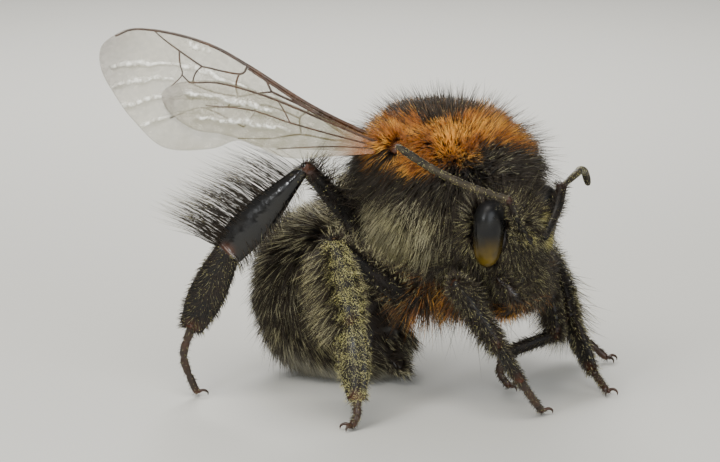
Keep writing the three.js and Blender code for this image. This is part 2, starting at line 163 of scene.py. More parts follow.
def lofts(shapes):
    """Several sets of rings as one set of points and faces."""
    points, faces, count = [], [], 0
    for rings in shapes:
        shape_points, shape_faces = loft(rings)
        points.append(shape_points)
        faces += [f + count for f in shape_faces]
        count += len(shape_points)
    return np.concatenate(points), faces


def around_ring(count):
    angle = 2 * np.pi * (np.arange(count) + 0.5) / count
    return np.cos(angle), np.sin(angle)


def bead(centre, radii, rows=14, around=20):
    """Rings of a small egg."""
    level = -np.cos(np.linspace(0.12, np.pi - 0.12, rows))
    share = np.sqrt(1 - level ** 2)[:, None]
    c, s = around_ring(around)
    z = np.broadcast_to(level[:, None], (rows, around))
    return np.stack([share * c, share * s, z], -1) * np.array(radii) + centre


def limb_rings(line, wide, thick, flat=UP, rows=24, around=20):
    """Rings along a smooth line with round ends. wide and thick are half-sizes, flat is the broad side's
    way."""
    ends = np.sin(np.linspace(0, np.pi / 2, 5)[1:])
    tall = np.cos(np.arcsin(ends))
    t = np.concatenate([np.zeros(4), np.linspace(0, 1, rows), np.ones(4)])
    share = np.concatenate([ends * 0.999, np.ones(rows), ends[::-1]])
    ahead = np.concatenate([-tall, np.zeros(rows), tall[::-1]])
    axis = unit(through(line, np.minimum(t + 0.01, 1)) - through(line, np.maximum(t - 0.01, 0)))
    up = unit(flat - (axis @ flat)[:, None] * axis)
    side = np.cross(up, axis)
    w, h = through(wide, t), through(thick, t)
    centre = through(line, t) + axis * (ahead * np.minimum(w, h) * 0.9)[:, None]
    angle = 2 * np.pi * np.arange(around) / around
    reach = side[:, None] * (w * share)[:, None, None] * np.cos(angle)[None, :, None]
    rise = up[:, None] * (h * share)[:, None, None] * np.sin(angle)[None, :, None]
    return centre[:, None] + reach + rise


print("a bead has", bead(vec(0, 0, 0), (1, 1, 1)).shape[0], "rings")

# %% [markdown]
# ## The body under the fur
# Thorax, head and abdomen are soft-looking only because of their coat. Below it lies one continuous skin of
# dark plates. We give each of the three a formula, a coat's depth inside its solid, and melt them together
# with a voxel remesh, which also makes the narrow neck and waist. Sculpting could do the same by hand, but
# a formula keeps skin and solids in step.

# %% Sizes of thorax, head and abdomen
THORAX_COAT = 1.0
HEAD_COAT = 0.38
ABDOMEN_COAT = 0.72
THORAX_MIDDLE = vec(0, 0, 7.0)
THORAX_HALF = vec(3.5, 3.45, 3.4) - THORAX_COAT
THORAX_LEAN = -0.5
THORAX_SQUARENESS = 2.3  # 2 is an ellipse from the side, higher is squarer
THORAX_TAPER = 0.14  # how much narrower the thorax is at its lower end
HEAD_CENTRE = vec(2.78, -0.3, 5.55)
HEAD_TURN = np.radians(5)
HEAD_ENDS = (-1.88, 1.86)
HEAD_WIDTH = (0.55, 0.95, 1.28, 1.62, 1.92, 2.08, 2.05, 1.78, 0.75)
HEAD_FRONT = (0.85, 1.25, 1.42, 1.48, 1.5, 1.5, 1.42, 1.15, 0.4)
HEAD_BACK = (0.3, 0.7, 0.95, 1.15, 1.3, 1.4, 1.45, 1.3, 0.6)
BACK_LINE = [(-2.3, 0, 5.95), (-4.3, 0, 6.0), (-6.05, 0, 5.5), (-7.25, 0, 4.4), (-7.7, 0, 2.9),
             (-7.4, 0, 1.15), (-6.25, 0, 0.1), (-4.5, 0, -0.08), (-2.95, 0, 0.12)]
BELLY_LINE = [(-2.1, 0, 5.0), (-2.1, 0, 4.7), (-2.15, 0, 4.4), (-2.2, 0, 4.1), (-2.25, 0, 3.8),
              (-2.3, 0, 3.4), (-2.35, 0, 2.9), (-2.3, 0, 2.3), (-2.1, 0, 1.6)]
ABDOMEN_WIDTH = (1.7, 2.6, 3.1, 3.3, 3.3, 3.1, 2.65, 1.95, 1.0)
SEGMENT_ENDS = (0, 0.17, 0.36, 0.54, 0.71, 0.87, 1)
PLATE_STEP = 0.07  # how far each abdominal plate overlaps the next
print("the skin lies", THORAX_COAT, HEAD_COAT, ABDOMEN_COAT, "mm deep under the coat")


# %% Thorax, head and abdomen by formula
def thorax_rings():
    level = -np.cos(np.linspace(0.02, np.pi - 0.02, 40))
    share = (1 - np.abs(level) ** THORAX_SQUARENESS) ** (1 / THORAX_SQUARENESS)
    share = share * (1 - THORAX_TAPER * np.maximum(0, -level))
    lean = THORAX_LEAN * np.maximum(0, level) ** 2
    c, s = around_ring(64)
    x = lean[:, None] + share[:, None] * THORAX_HALF[0] * c
    y = share[:, None] * THORAX_HALF[1] * s
    z = np.broadcast_to(THORAX_MIDDLE[2] + level[:, None] * THORAX_HALF[2], x.shape)
    return np.stack([x, y, z], -1)


def on_head(front, left, up):
    """A point of the head, counted from its centre."""
    c, s = np.cos(HEAD_TURN), np.sin(HEAD_TURN)
    return np.stack([front * c - left * s, front * s + left * c, up + 0 * front], -1) + HEAD_CENTRE


def head_rings():
    t = np.linspace(0.01, 0.99, 36)
    up = HEAD_ENDS[0] + HEAD_COAT + t * (HEAD_ENDS[1] - HEAD_ENDS[0] - 2 * HEAD_COAT)
    c, s = around_ring(56)
    front, back = through(HEAD_FRONT, t)[:, None] - HEAD_COAT, through(HEAD_BACK, t)[:, None] - HEAD_COAT / 2
    deep = np.where(c > 0, front, back)
    wide = through(HEAD_WIDTH, t)[:, None] - HEAD_COAT
    end = np.minimum(1, np.sqrt(np.sin(np.pi * t) * 3))[:, None]
    return on_head(deep * c * end, wide * s * end, np.broadcast_to(up[:, None], (36, 56)))


def abdomen_rings():
    t = np.linspace(0, 1, 90)
    back, belly = through(BACK_LINE, t), through(BELLY_LINE, t)
    up = (back - belly) / 2
    ends = np.array(SEGMENT_ENDS)
    k = np.clip(np.searchsorted(ends, t, side="right") - 1, 0, len(ends) - 2)
    step = PLATE_STEP * ((t - ends[k]) / (ends[k + 1] - ends[k]) - 0.5)
    tall = np.linalg.norm(up, axis=1)
    up = up * ((tall - ABDOMEN_COAT + step) / tall)[:, None]
    wide = through(ABDOMEN_WIDTH, t) - ABDOMEN_COAT + step
    c, s = around_ring(72)
    rings = ((back + belly) / 2)[:, None] + up[:, None] * s[None, :, None]
    rings = rings - vec(0, 1, 0) * (wide[:, None] * c[None, :])[..., None]
    ahead = unit(np.cross(vec(0, -1, 0), up[-1]))
    middle = rings[-1].mean(0)
    caps = [middle + (rings[-1] - middle) * np.sqrt(1 - q * q) + ahead * 0.75 * q
            for q in (0.3, 0.6, 0.8, 0.93, 0.99)]
    return np.concatenate([rings, caps])


body_rings = [thorax_rings(), head_rings(), abdomen_rings()]
for name, rings in zip(("thorax", "head", "abdomen"), body_rings):
    print(name, "skin spans", np.ptp(rings.reshape(-1, 3), axis=0).round(2), "mm")

# %% [markdown]
# The legs join the body at cone-like hips. We keep each leg as its joints, from the hip inside the body to
# the point on the floor, because skin, shells and hairs all need them.

# %% The legs' joints
LEGS = {
    "leg_fore_right": ("fore", (0.3, -1, 0.2), [(1.3, -0.8, 4.5), (2.0, -0.95, 3.7), (2.85, -2.82, 4.63),
                       (3.98, -2.07, 2.66), (4.32, -1.36, 1.41), (4.42, -0.8, 0.7), (4.32, -0.21, 0)]),
    "leg_fore_left": ("fore", (0.3, 1, 0.2), [(1.3, 0.8, 4.5), (2.0, 1.0, 3.8), (1.67, 3.12, 4.0),
                      (2.3, 2.88, 1.92), (0.96, 1.67, 1.24), (0.95, 1.6, 0.6), (1.22, 1.74, 0)]),
    "leg_mid_right": ("mid", (0.5, -1, 0.1), [(0.2, -1.0, 4.5), (0.19, -1.85, 3.6), (-0.71, -4.94, 5.86),
                      (0.4, -5.3, 3.45), (1.0, -5.66, 1.04), (1.12, -5.78, 0.5), (1.05, -5.95, 0)]),
    "leg_mid_left": ("mid", (0.3, 1, 0.2), [(0.2, 1.0, 4.5), (0.25, 1.9, 3.6), (0.53, 4.79, 3.95),
                     (2.04, 3.86, 2.24), (3.2, 3.7, 0.72), (3.65, 3.6, 0.38), (4.07, 3.45, 0)]),
    "leg_hind_right": ("hind", (0.55, -0.8, 0.15), [(-1.5, -0.9, 4.9), (-1.85, -1.8, 5.4),
                       (-2.28, -4.53, 8.13), (-4.42, -6.0, 5.26), (-5.58, -6.55, 2.6),
                       (-6.05, -6.45, 1.45), (-6.0, -5.9, 0)]),
    "leg_hind_left": ("hind", (-0.3, 1, 0.2), [(-1.5, 0.9, 4.9), (-1.85, 1.7, 4.9), (-2.6, 5.0, 5.9),
                      (-1.5, 6.9, 3.1), (-0.5, 6.9, 1.2), (0.39, 6.85, 0.7), (0.98, 7.14, 0)]),
}
LEGS = {name: (form, vec(*flat), [vec(*j) for j in joints]) for name, (form, flat, joints) in LEGS.items()}
for name, (form, flat, joints) in LEGS.items():
    print(name, "tibia", round(float(np.linalg.norm(joints[3] - joints[2])), 2), "mm long")

# %% [markdown]
# Now the lofts of body, neck, waist and hips are remeshed into one skin. The remesh works in millimetres,
# since Blender's smallest voxel is a tenth of a millimetre in metres, too coarse for a bee.

# %% One skin
SKIN_VOXEL = 0.075


def body_shapes():
    """Rings of the body with its neck, waist, wing hinges, face shield and hips."""
    shapes = body_rings + [limb_rings([vec(1.4, -0.1, 6.1), vec(2.3, -0.2, 5.8)], (1.0, 0.9), (1.1, 1.0)),
                           limb_rings([vec(-1.4, 0, 6.0), vec(-3.0, 0, 5.9)], (1.1, 1.4), (0.9, 1.0))]
    for out in SIDES.values():
        hinge = [vec(-0.5, out * 1.2, 8.1), vec(-0.45, out * 1.9, 8.5), vec(-0.5, out * 2.3, 8.68)]
        shapes.append(limb_rings(hinge, (0.7, 0.5, 0.34), (0.5, 0.4, 0.26)))
    shield = [on_head(0.85, 0, -0.35), on_head(1.0, 0, -1.25)]
    shapes.append(limb_rings(shield, (0.5, 0.62), (0.34, 0.3), vec(1, 0, 0)))
    for _, flat, joints in LEGS.values():
        inner = unit(vec(0, 0, 6.0) - joints[0]) * 0.6 + joints[0]
        hip = [inner, joints[0], joints[0] * 0.35 + joints[1] * 0.65]
        shapes.append(limb_rings(hip, (0.75, 0.62, 0.42), (0.7, 0.55, 0.36), flat))
    return shapes


skin = new_piece("bee_skin", *lofts(body_shapes()), metres=False)
remesh = skin.modifiers.new("melt", "REMESH")
remesh.mode = "VOXEL"
remesh.voxel_size = SKIN_VOXEL
ease = skin.modifiers.new("ease", "SMOOTH")
ease.factor = 0.5
ease.iterations = 4
graph = bpy.context.evaluated_depsgraph_get()
melted = bpy.data.meshes.new_from_object(skin.evaluated_get(graph))
skin.modifiers.clear()
skin.data = melted
melted.shade_smooth()


def read(rows, key, kind=np.float32):
    """One value of every vertex, corner or triangle of a mesh, three numbers wide."""
    values = np.zeros(len(rows) * 3, kind)
    rows.foreach_get(key, values)
    return values.reshape(-1, 3)


melted.calc_loop_triangles()
skin_corners = read(melted.loop_triangles, "vertices", np.int32)
skin_points = read(melted.vertices, "co").astype(float)
skin_normals = read(melted.vertex_normals, "vector").astype(float)
print("skin:", len(skin_corners), "triangles")

# %% [markdown]
# ## Markings
# A tree bumblebee is easy to know: ginger thorax, black abdomen, white tail. This worker's sides also carry
# black hairs with long cream tips. One function says, for any point of the body, how ginger, pale or white
# it is. Skin and fur both read it, so the skin that shows between hairs always agrees with them.

# %% Where a point of the body is
CURL_PIVOT = vec(-1.7, 0, 3.9)  # the abdomen curls round this point


def wobble(points, size, seed):
    """A smooth made-up unevenness between -1 and 1, with bumps about size millimetres across."""
    phases = np.random.default_rng(seed).uniform(-1, 1, (5, 4))
    waves = points @ (unit(phases[:, :3]) * (2 * np.pi / size)).T + phases[:, 3] * np.pi
    return np.sin(waves + np.sin(waves[:, ::-1] * 0.7)).mean(1) * 1.6


def region(points):
    """0 for thorax, 1 for head, 2 for abdomen."""
    lean = THORAX_LEAN * np.clip((points[:, 2] - 7) / THORAX_HALF[2], 0, 1) ** 2
    off = (points - THORAX_MIDDLE) - np.outer(lean, (1, 0, 0))
    near = np.linalg.norm(off / THORAX_HALF, axis=1)
    where = np.where(points[:, 0] > 0.9, 1, 2)
    where[(near < 1.17) | ((near < 1.5) & (points[:, 2] > 6.6) & (np.abs(points[:, 1]) > 1.2))] = 0
    hips = (points[:, 2] < 5.2) & (near < 1.6) & (points[:, 0] > -0.9) & (points[:, 0] < 2.0)
    where[hips & (np.linalg.norm(points - HEAD_CENTRE, axis=1) > 1.7)] = 0
    return where


def curl(points):
    """How far round the abdomen's curl a point lies, from 0 at the waist to 1 at the tail's end."""
    off = points - CURL_PIVOT
    angle = np.arctan2(-off[:, 0], off[:, 2])
    return np.clip((np.mod(angle + 0.5, 2 * np.pi) - 0.5 - 0.25) / 2.68, 0, 1)


def back_share(points):
    """1 on the abdomen's back, 0 halfway down its side and -1 on its belly."""
    turn = curl(points)
    back, belly = through(BACK_LINE, turn), through(BELLY_LINE, turn)
    up = (back - belly) / 2
    return ((points - (back + belly) / 2) * up).sum(1) / (up ** 2).sum(1)


where_skin = region(skin_points)
print("skin points of thorax, head and abdomen:", np.bincount(where_skin))

# %% Where the body is ginger, pale or white
# height of the ginger patch's border on the thorax, from its front to its rear
GINGER_BORDER = (0.62, 0.6, 0.56, 0.5, 0.42, 0.38, 0.54, 0.56, 0.57, 0.6, 0.6, 0.58, 0.56)
GOLD_SPOTS = ((0.95, 0.7, 0.82, 0.36), (1.02, 0.72, 0.3, 0.34), (1.05, -0.4, 0.55, 0.25))


def thorax_marks(points):
    """Ginger and pale shares on the thorax."""
    way = unit(points - THORAX_MIDDLE)
    round_ = np.abs(np.arctan2(way[:, 1], way[:, 0])) / np.pi
    border = through(GINGER_BORDER, round_) + 0.05 * wobble(points, 1.4, 3)
    cap = way @ unit(vec(-0.16, 0, 1)) + 0.03 * wobble(points, 0.8, 5)
    ginger = smooth(-0.13, 0.15, way[:, 2] - border) * (1 - 0.8 * smooth(0.82, 0.94, cap))
    flank = smooth(0.17, 0.42, round_) * smooth(0.35, -0.1, way[:, 2])
    pale = (0.1 + 0.85 * flank + 0.08 * smooth(0.42, 0.15, round_)) * (1 - ginger)
    pale = pale * (1 - 0.75 * smooth(5.4, 4.6, points[:, 2]))
    return np.maximum(ginger, 0.37 * smooth(5.2, 4.2, points[:, 2])), pale


def markings(points):
    """Ginger, pale-tipped, white and golden shares at points of the body. On the abdomen the pale tips are
    painted sheen.
    """
    where = region(points)
    ginger, pale = thorax_marks(points)
    spots = np.zeros(len(points))
    for front, left, up, wide in GOLD_SPOTS:
        off = np.linalg.norm(points - on_head(front, left, up), axis=1)
        spots = np.maximum(spots, smooth(wide * 1.3, wide * 0.4, off))
    turn = curl(points)
    # painted sheen: more abdomen hairs get cream tips near the waist
    waist_sheen = smooth(0.42, 0.14, turn + 0.04 * wobble(points, 1.2, 8))
    late = smooth(0.65, 0.75, turn + 0.03 * wobble(points, 1.5, 9)) * smooth(1.0, 0.96, turn)
    tail = late * smooth(0.1, 0.45, back_share(points))
    ginger = np.choose(where, (ginger, 0.3 * smooth(4.3, 4.0, points[:, 2]), 0))
    # on the abdomen the pale share is painted sheen on dark hair: a third of the hairs everywhere, more near
    # the waist
    pale = np.clip(np.choose(where, (pale, 0.27 + 1.1 * spots, 0.34 + 0.5 * waist_sheen)), 0, 1)
    return {"ginger": ginger, "pale": pale, "white": np.choose(where, (0, 0, tail)),
            "gold": np.choose(where, (0, 0.25 + 0.75 * spots, 0))}


skin_marks = markings(skin_points)
note(skin, **skin_marks)
for name, share in skin_marks.items():
    print(name, "on", round(float(share.mean()), 2), "of the skin")

# %% [markdown]
# The skin is unwrapped by its own shape: the thorax and head like globes, the abdomen like a curled tube,
# each on its own part of the map. The same map gives every hair its place, at its root.

# %% Unwrap by shape
def on_globe(way, ahead):
    """A direction's place on the map of a globe, whose seam is at the rear, or in front where ahead is -1."""
    turn = np.arctan2(way[:, 1], ahead * way[:, 0]) / (2 * np.pi) + 0.5
    return np.stack([turn, np.arccos(way[:, 2]) / np.pi], -1)


def unwrap(points):
    """Each point's place on a flat map of the body, from 0 to 1 both ways."""
    turn = curl(points)
    spine = (through(BACK_LINE, turn) + through(BELLY_LINE, turn)) / 2
    off = (points - spine) * (1, 0, 1)
    rise = np.linalg.norm(off, axis=1) * np.sign((unit(off) * unit(spine - CURL_PIVOT)).sum(1))
    tail = np.stack([np.arctan2(points[:, 1], rise) / (2 * np.pi) + 0.5, turn], -1)
    return np.choose(region(points)[:, None], (
        on_globe(unit(points - THORAX_MIDDLE), 1) * 0.46 + (0.02, 0.02),
        on_globe(unit(points - HEAD_CENTRE), -1) * 0.46 + (0.52, 0.02), tail * (0.96, 0.46) + (0.02, 0.52)))


def lay_map(piece, places):
    """Gives a piece the map OFBake from each point's place."""
    corner = np.zeros(len(piece.data.loops), np.int32)
    piece.data.loops.foreach_get("vertex_index", corner)
    layer = piece.data.uv_layers.new(name="OFBake")
    layer.data.foreach_set("uv", np.asarray(places[corner], np.float32).ravel())


lay_map(skin, unwrap(skin_points))
print("map spans", unwrap(skin_points).min(0).round(2), unwrap(skin_points).max(0).round(2))

# %% [markdown]
# ## The camera, the light and the floor
# The model is as small as the living bee, so the camera is a long lens close by. It looks from the bee's
# right front, a little above its back. A big soft light above and a second one from the side give the fur
# its form, a weaker one behind draws a bright rim through the hair tips, and a small one in front leaves
# a streak on the eye and the polished shin.

# %% Camera
VIEW_TURN = np.radians(42)
VIEW_RISE = np.radians(12)
AIM = vec(-2.18, -1.963, 5.589)
IMAGE_WIDTH = 24.0
LENS = 300
back = vec(np.sin(VIEW_TURN) * np.cos(VIEW_RISE), -np.cos(VIEW_TURN) * np.cos(VIEW_RISE), np.sin(VIEW_RISE))
lens_data = bpy.data.cameras.new("long_lens")
lens_data.lens = LENS
lens_data.sensor_width = 36
lens_data.clip_start = 0.01
lens_data.clip_end = 10
camera = bpy.data.objects.new("camera", lens_data)
scene.collection.objects.link(camera)
away = LENS * IMAGE_WIDTH / 36 * MM
camera.location = Vector(AIM * MM + SHIFT + back * away)
camera.rotation_euler = Vector(back).to_track_quat("Z", "Y").to_euler()
scene.camera = camera
print("camera stands", round(away, 3), "m away")

# %% Lights and the room's own light
def soft_light(name, place, size, watts, colour):
    """An area light at a place in bee millimetres, turned to the bee."""
    data = bpy.data.lights.new(name, "AREA")
    data.shape = "DISK"
    data.size = size * MM
    data.energy = watts
    data.color = colour
    lamp = bpy.data.objects.new(name, data)
    scene.collection.objects.link(lamp)
    lamp.location = Vector(vec(*place) * MM + SHIFT)
    aim = Vector(vec(*place) - vec(-1, 0, 5))
    lamp.rotation_euler = aim.to_track_quat("Z", "Y").to_euler()
    return lamp


soft_light("key", (15, -45, 75), 60, 0.06, (1.0, 0.96, 0.88))
soft_light("side", (75, -30, 25), 60, 0.035, (0.9, 0.95, 1.0))
soft_light("rim", (-50, 45, 50), 45, 0.05, (1.0, 0.98, 0.95))
soft_light("window", (20, -96, 33), 18, 0.028, (0.95, 0.98, 1.0))
world = bpy.data.worlds.new("room")
scene.world = world
world.use_nodes = True
world.node_tree.nodes["Background"].inputs["Color"].default_value = (0.9, 0.88, 0.82, 1)
world.node_tree.nodes["Background"].inputs["Strength"].default_value = 0.45

# %% [markdown]
# ## Finishes
# A finish is a small tree of nodes that ends in one shader. A class keeps the trees short: its methods add
# a node, read a number that was kept on the mesh, blend two colours, or map a range. Every colour is then
# varied by noise in the mesh's own space, so nothing looks painted flat.

# %% Finish helpers
class Finish:
    """A material in the making, with its tree of nodes and the shader where they end."""

    def __init__(self, name, **settings):
        self.material = bpy.data.materials.new(name)
        self.material.use_nodes = True
        self.tree = self.material.node_tree
        for key, value in settings.items():
            self.put(key.replace("_", " ").title().replace("Ior", "IOR"), value)

    def feed(self, socket, value):
        if isinstance(value, bpy.types.NodeSocket):
            self.tree.links.new(value, socket)
        elif socket.type == "RGBA" and len(value) == 3:
            socket.default_value = (*value, 1)
        else:
            socket.default_value = value

    def put(self, name, value):
        """Gives one of the shader's inputs a value, or the output of a node."""
        self.feed(self.tree.nodes["Principled BSDF"].inputs[name], value)

    def node(self, kind, inputs, **settings):
        made = self.tree.nodes.new("ShaderNode" + kind)
        for key, value in settings.items():
            setattr(made, key, value)
        for key, value in inputs.items():
            self.feed(made.inputs[key], value)
        return made

    def kept(self, name):
        return self.node("Attribute", {}, attribute_name=name).outputs["Fac"]

    def bumps(self, kind, size, output, **inputs):
        """A pattern with bumps about size millimetres across."""
        place = self.node("TexCoord", {}).outputs["Object"]
        return self.node(kind, {"Vector": place, "Scale": 1 / (size * MM), **inputs}).outputs[output]

    def noise(self, size, detail=3.0):
        return self.bumps("TexNoise", size, "Fac", Detail=detail)

    def blend(self, share, first, second):
        return self.node("Mix", {0: share, 6: first, 7: second}, data_type="RGBA").outputs[2]

    def ranged(self, value, low, high, to_low=0.0, to_high=1.0):
        inputs = {0: value, 1: low, 2: high, 3: to_low, 4: to_high}
        return self.node("MapRange", inputs, interpolation_type="SMOOTHSTEP").outputs[0]

    def maths(self, kind, first, second):
        return self.node("Math", {0: first, 1: second}, operation=kind).outputs[0]

    def rough_up(self, height, depth, strength=1.0):
        """Bump from a height between 0 and 1, depth millimetres deep."""
        inputs = {"Height": height, "Distance": depth * MM, "Strength": strength}
        self.put("Normal", self.node("Bump", inputs).outputs["Normal"])


print("finish helpers ready")

# %% Floor
reach = 3000.0
corners = vec(-reach, -reach, 0, reach, -reach, 0, reach, reach, 0, -reach, reach, 0).reshape(4, 3)
pale_floor = Finish("pale_floor", base_color=(0.66, 0.66, 0.63), roughness=0.8).material
floor = new_piece("floor", corners, [np.array([[0, 1, 2, 3]])], material=pale_floor)
print("floor spans", round(float(floor.dimensions.x), 3), "m")

# %% [markdown]
# The skin is dark brown-black cuticle. It is ginger-brown under the ginger patch and paler under the tail,
# as on the real insect, where bare patches show. Its gloss varies in small patches.

# %% Skin finish
def skin_finish():
    finish = Finish("cuticle", roughness=0.4, specular_ior_level=0.5)
    dark = finish.blend(finish.noise(0.4), (0.008, 0.006, 0.005), (0.022, 0.014, 0.009))
    warm = finish.blend(finish.kept("ginger"), dark, (0.10, 0.032, 0.01))
    finish.put("Base Color", finish.blend(finish.kept("white"), warm, (0.12, 0.105, 0.08)))
    finish.put("Roughness", finish.ranged(finish.noise(0.25), 0.3, 0.7, 0.26, 0.5))
    finish.rough_up(finish.noise(0.06, 2.0), 0.01, 0.6)
    return finish.material


in_metres = read(melted.vertices, "co") * MM + SHIFT
melted.vertices.foreach_set("co", in_metres.astype(np.float32).ravel())
melted.update()
melted.materials.append(skin_finish())
settle(skin, "thorax_coat", ["thorax", "head"] + [f"abdomen_segment_{k}" for k in range(1, 7)])
print("skin finished")

# %% [markdown]
# ## The coat
# Each hair is a thin three-sided spike, closed at the root, bent once and tapered to a point. Hairs stand in
# tufts: they start round one root and gather towards their tips, as soft fur does. Blender's hair system
# could grow them as curves, but solid hairs stay with the model wherever it goes.
# Plush fur gets its look from three things: the lie of the tufts, uneven lengths, and dark roots under
# bright tips, so that light sinks between the tufts. On ginger and white hairs the dark roots are painted
# shade deep in the coat; the dark bases of the cream-tipped hairs are their own colour.

# %% Growing hairs
def scattered(points, normals, corners, count, weight):
    """Random places on a surface, with more where the weight is high. Gives points and normals."""
    a, b, c = (points[corners[:, k]] for k in range(3))
    area = np.linalg.norm(np.cross(b - a, c - a), axis=1) * weight[corners].mean(1)
    pick = rng.choice(len(area), count, p=area / area.sum())
    p, q = rng.random((2, count, 1))
    p, q = np.where(p + q > 1, 1 - p, p), np.where(p + q > 1, 1 - q, q)
    share = np.concatenate([1 - p - q, p, q], 1)[..., None]
    corner = corners[pick]
    return (points[corner] * share).sum(1), unit((normals[corner] * share).sum(1))


def across(directions):
    """Two directions square to each given one."""
    other = np.where(np.abs(directions[:, 2:]) > 0.8, vec(1, 0, 0), vec(0, 0, 1))
    first = unit(np.cross(directions, other))
    return first, np.cross(directions, first)


def tufted(roots, normals, lie, length, hairs, spread, gather, messy):
    """Root, bend and tip of several hairs round each root, and which tuft each hair is in."""
    tuft = np.repeat(np.arange(len(roots)), hairs)
    count = len(tuft)
    root, normal, lie = roots[tuft], normals[tuft], lie[tuft]
    first, second = across(normal)
    turn = rng.random(count) * 2 * np.pi
    reach = spread * np.sqrt(rng.random(count))
    beside = (first.T * np.cos(turn) * reach + second.T * np.sin(turn) * reach).T
    long = (length[tuft] * (1.12 - 0.45 * rng.random(count) ** 2))[:, None]
    way = unit(lie + messy * rng.normal(size=(count, 3)))
    start = root + beside - normal * 0.07
    tip = root + beside * (1 - gather) + way * long
    bend = start + unit(normal * 0.9 + way * 0.7) * long * 0.52
    return (start, bend, tip), tuft


def along_hair(hairs, t):
    start, bend, tip = hairs
    return (1 - t) ** 2 * start + 2 * t * (1 - t) * bend + t ** 2 * tip


pollen_places = []


def dust(hairs, count):
    """Keeps places along some of the hairs, for pollen grains to sit on."""
    pick = rng.integers(len(hairs[0]), size=count)
    t = rng.uniform(0.45, 0.97, (count, 1))
    place = along_hair([part[pick] for part in hairs], t)
    pollen_places.append(place + rng.normal(size=(count, 3)) * 0.008)


print("hair grower ready")

# %% Hairs as a mesh
SPIKE = (0.0, 0.5)  # where along a hair its two rings of corners sit; the third step is its tip
SPIKE_QUADS = np.array([(0, 1, 4, 3), (1, 2, 5, 4), (2, 0, 3, 5)])
SPIKE_TRIS = np.array([(0, 2, 1), (3, 4, 6), (4, 5, 6), (5, 3, 6)])
SPIKE_CORNERS = 7


def hair_piece(name, slot, hairs, thick, marks, places):
    """One mesh of solid hairs. marks are numbers per hair for the finish, places their tufts' map places."""
    start, _, tip = hairs
    count = len(start)
    t = vec(*SPIKE)[None, :, None]
    line = along_hair([part[:, None] for part in hairs], t)
    first, second = across(unit(tip - start))
    turn = rng.random(count)[:, None] * 2 + 2 * np.pi * np.arange(3) / 3
    girth = np.broadcast_to(np.asarray(thick), (count,))[:, None, None, None] * (1 - 0.5 * t[..., None])
    round_ = first[:, None] * np.cos(turn)[..., None] + second[:, None] * np.sin(turn)[..., None]
    points = (line[:, :, None] + girth * round_[:, None]).reshape(count, 6, 3)
    points = np.concatenate([points, tip[:, None]], 1)
    points[..., 2] = np.maximum(points[..., 2], 0.012)
    base = (np.arange(count) * SPIKE_CORNERS)[:, None, None]
    faces = [(SPIKE_QUADS + base).reshape(-1, 4), (SPIKE_TRIS + base).reshape(-1, 3)]
    along = np.tile([0, 0, 0, 0.5, 0.5, 0.5, 1], count)
    marks = {"chance": rng.random(count), **marks}
    values = {key: np.repeat(value, SPIKE_CORNERS) for key, value in marks.items()}
    piece = new_piece(name, points.reshape(-1, 3), faces, slot, FUR, along=along, **values)
    round_map = np.tile([0, 1 / 3, 2 / 3, 0, 1 / 3, 2 / 3, 0.33], count)
    lay_map(piece, np.repeat(places, SPIKE_CORNERS, axis=0) + np.stack([round_map, along], -1) * 0.003)
    return piece


print("each hair has", 2 * len(SPIKE_QUADS) + len(SPIKE_TRIS), "triangles")

# %% [markdown]
# One finish serves all hair. It reads the marks of each hair, and a number between 0 and 1 drawn for it by
# chance, so that neighbours differ: where a third of the coat is pale, every third hair gets a cream tip.

# %% Fur finish
# the colour ginger hairs darken to at their roots: painted shade deep in the coat
GINGER_ROOT_SHADE = (0.07, 0.018, 0.005)
GINGER_DEEP = (0.42, 0.135, 0.014)
GINGER_TIP = (0.94, 0.46, 0.07)
DARK_HAIR = (0.007, 0.006, 0.005)
BROWN_HAIR = (0.055, 0.04, 0.026)
PALE_HAIR = (0.94, 0.88, 0.63)
OLIVE_HAIR = (0.56, 0.5, 0.18)
GOLD_HAIR = (0.8, 0.71, 0.22)
# the colour white tail hairs darken to at their roots: painted shade deep in the coat
WHITE_ROOT_SHADE = (0.12, 0.1, 0.075)
WHITE_HAIR = (0.5, 0.47, 0.38)


def fur_finish():
    finish = Finish("fur", roughness=0.5, specular_ior_level=0.4)
    blend, ranged, maths, kept = finish.blend, finish.ranged, finish.maths, finish.kept
    along, chance = kept("along"), kept("chance")
    is_pale = maths("SUBTRACT", kept("pale"), maths("MULTIPLY", chance, 1.05))
    pale = maths("MULTIPLY", ranged(is_pale, 0.0, 0.3), ranged(along, 0.3, 0.9))
    cream = blend(kept("gold"), blend(finish.noise(1.2), PALE_HAIR, OLIVE_HAIR), GOLD_HAIR)
    tipped = blend(pale, blend(chance, DARK_HAIR, BROWN_HAIR), cream)
    glow = blend(ranged(finish.noise(0.9), 0.4, 0.65), GINGER_DEEP, GINGER_TIP)
    # painted shade: ginger hairs darken towards their roots
    ginger = blend(ranged(along, 0.0, 0.7), GINGER_ROOT_SHADE, glow)
    black_tip = maths("MULTIPLY", ranged(chance, 0.5, 0.9), ranged(along, 0.6, 0.95))
    ginger = blend(maths("MULTIPLY", black_tip, 0.7), ginger, BROWN_HAIR)
    is_ginger = maths("SUBTRACT", kept("ginger"), maths("MULTIPLY", chance, 0.55))
    coat = blend(ranged(is_ginger, 0.05, 0.4), tipped, ginger)
    # painted shade: white tail hairs darken towards their roots
    light = blend(ranged(along, 0.0, 0.5), WHITE_ROOT_SHADE, WHITE_HAIR)
    finish.put("Base Color", blend(kept("white"), coat, light))
    finish.put("Roughness", ranged(chance, 0, 1, 0.38, 0.6))
    return finish.material


FUR = fur_finish()
print("fur finish:", len(FUR.node_tree.nodes), "nodes")

# %% [markdown]
# Fur follows the body. On the thorax it stands up and leans away from the crown, and droops on the sides.
# On the abdomen it lies towards the tail. On the face it is short and points down and out.

# %% The lie and length of the coat
def flattened(flow, normals):
    """The part of a flow that lies along the surface."""
    return flow - normals * (flow * normals).sum(1, keepdims=True)


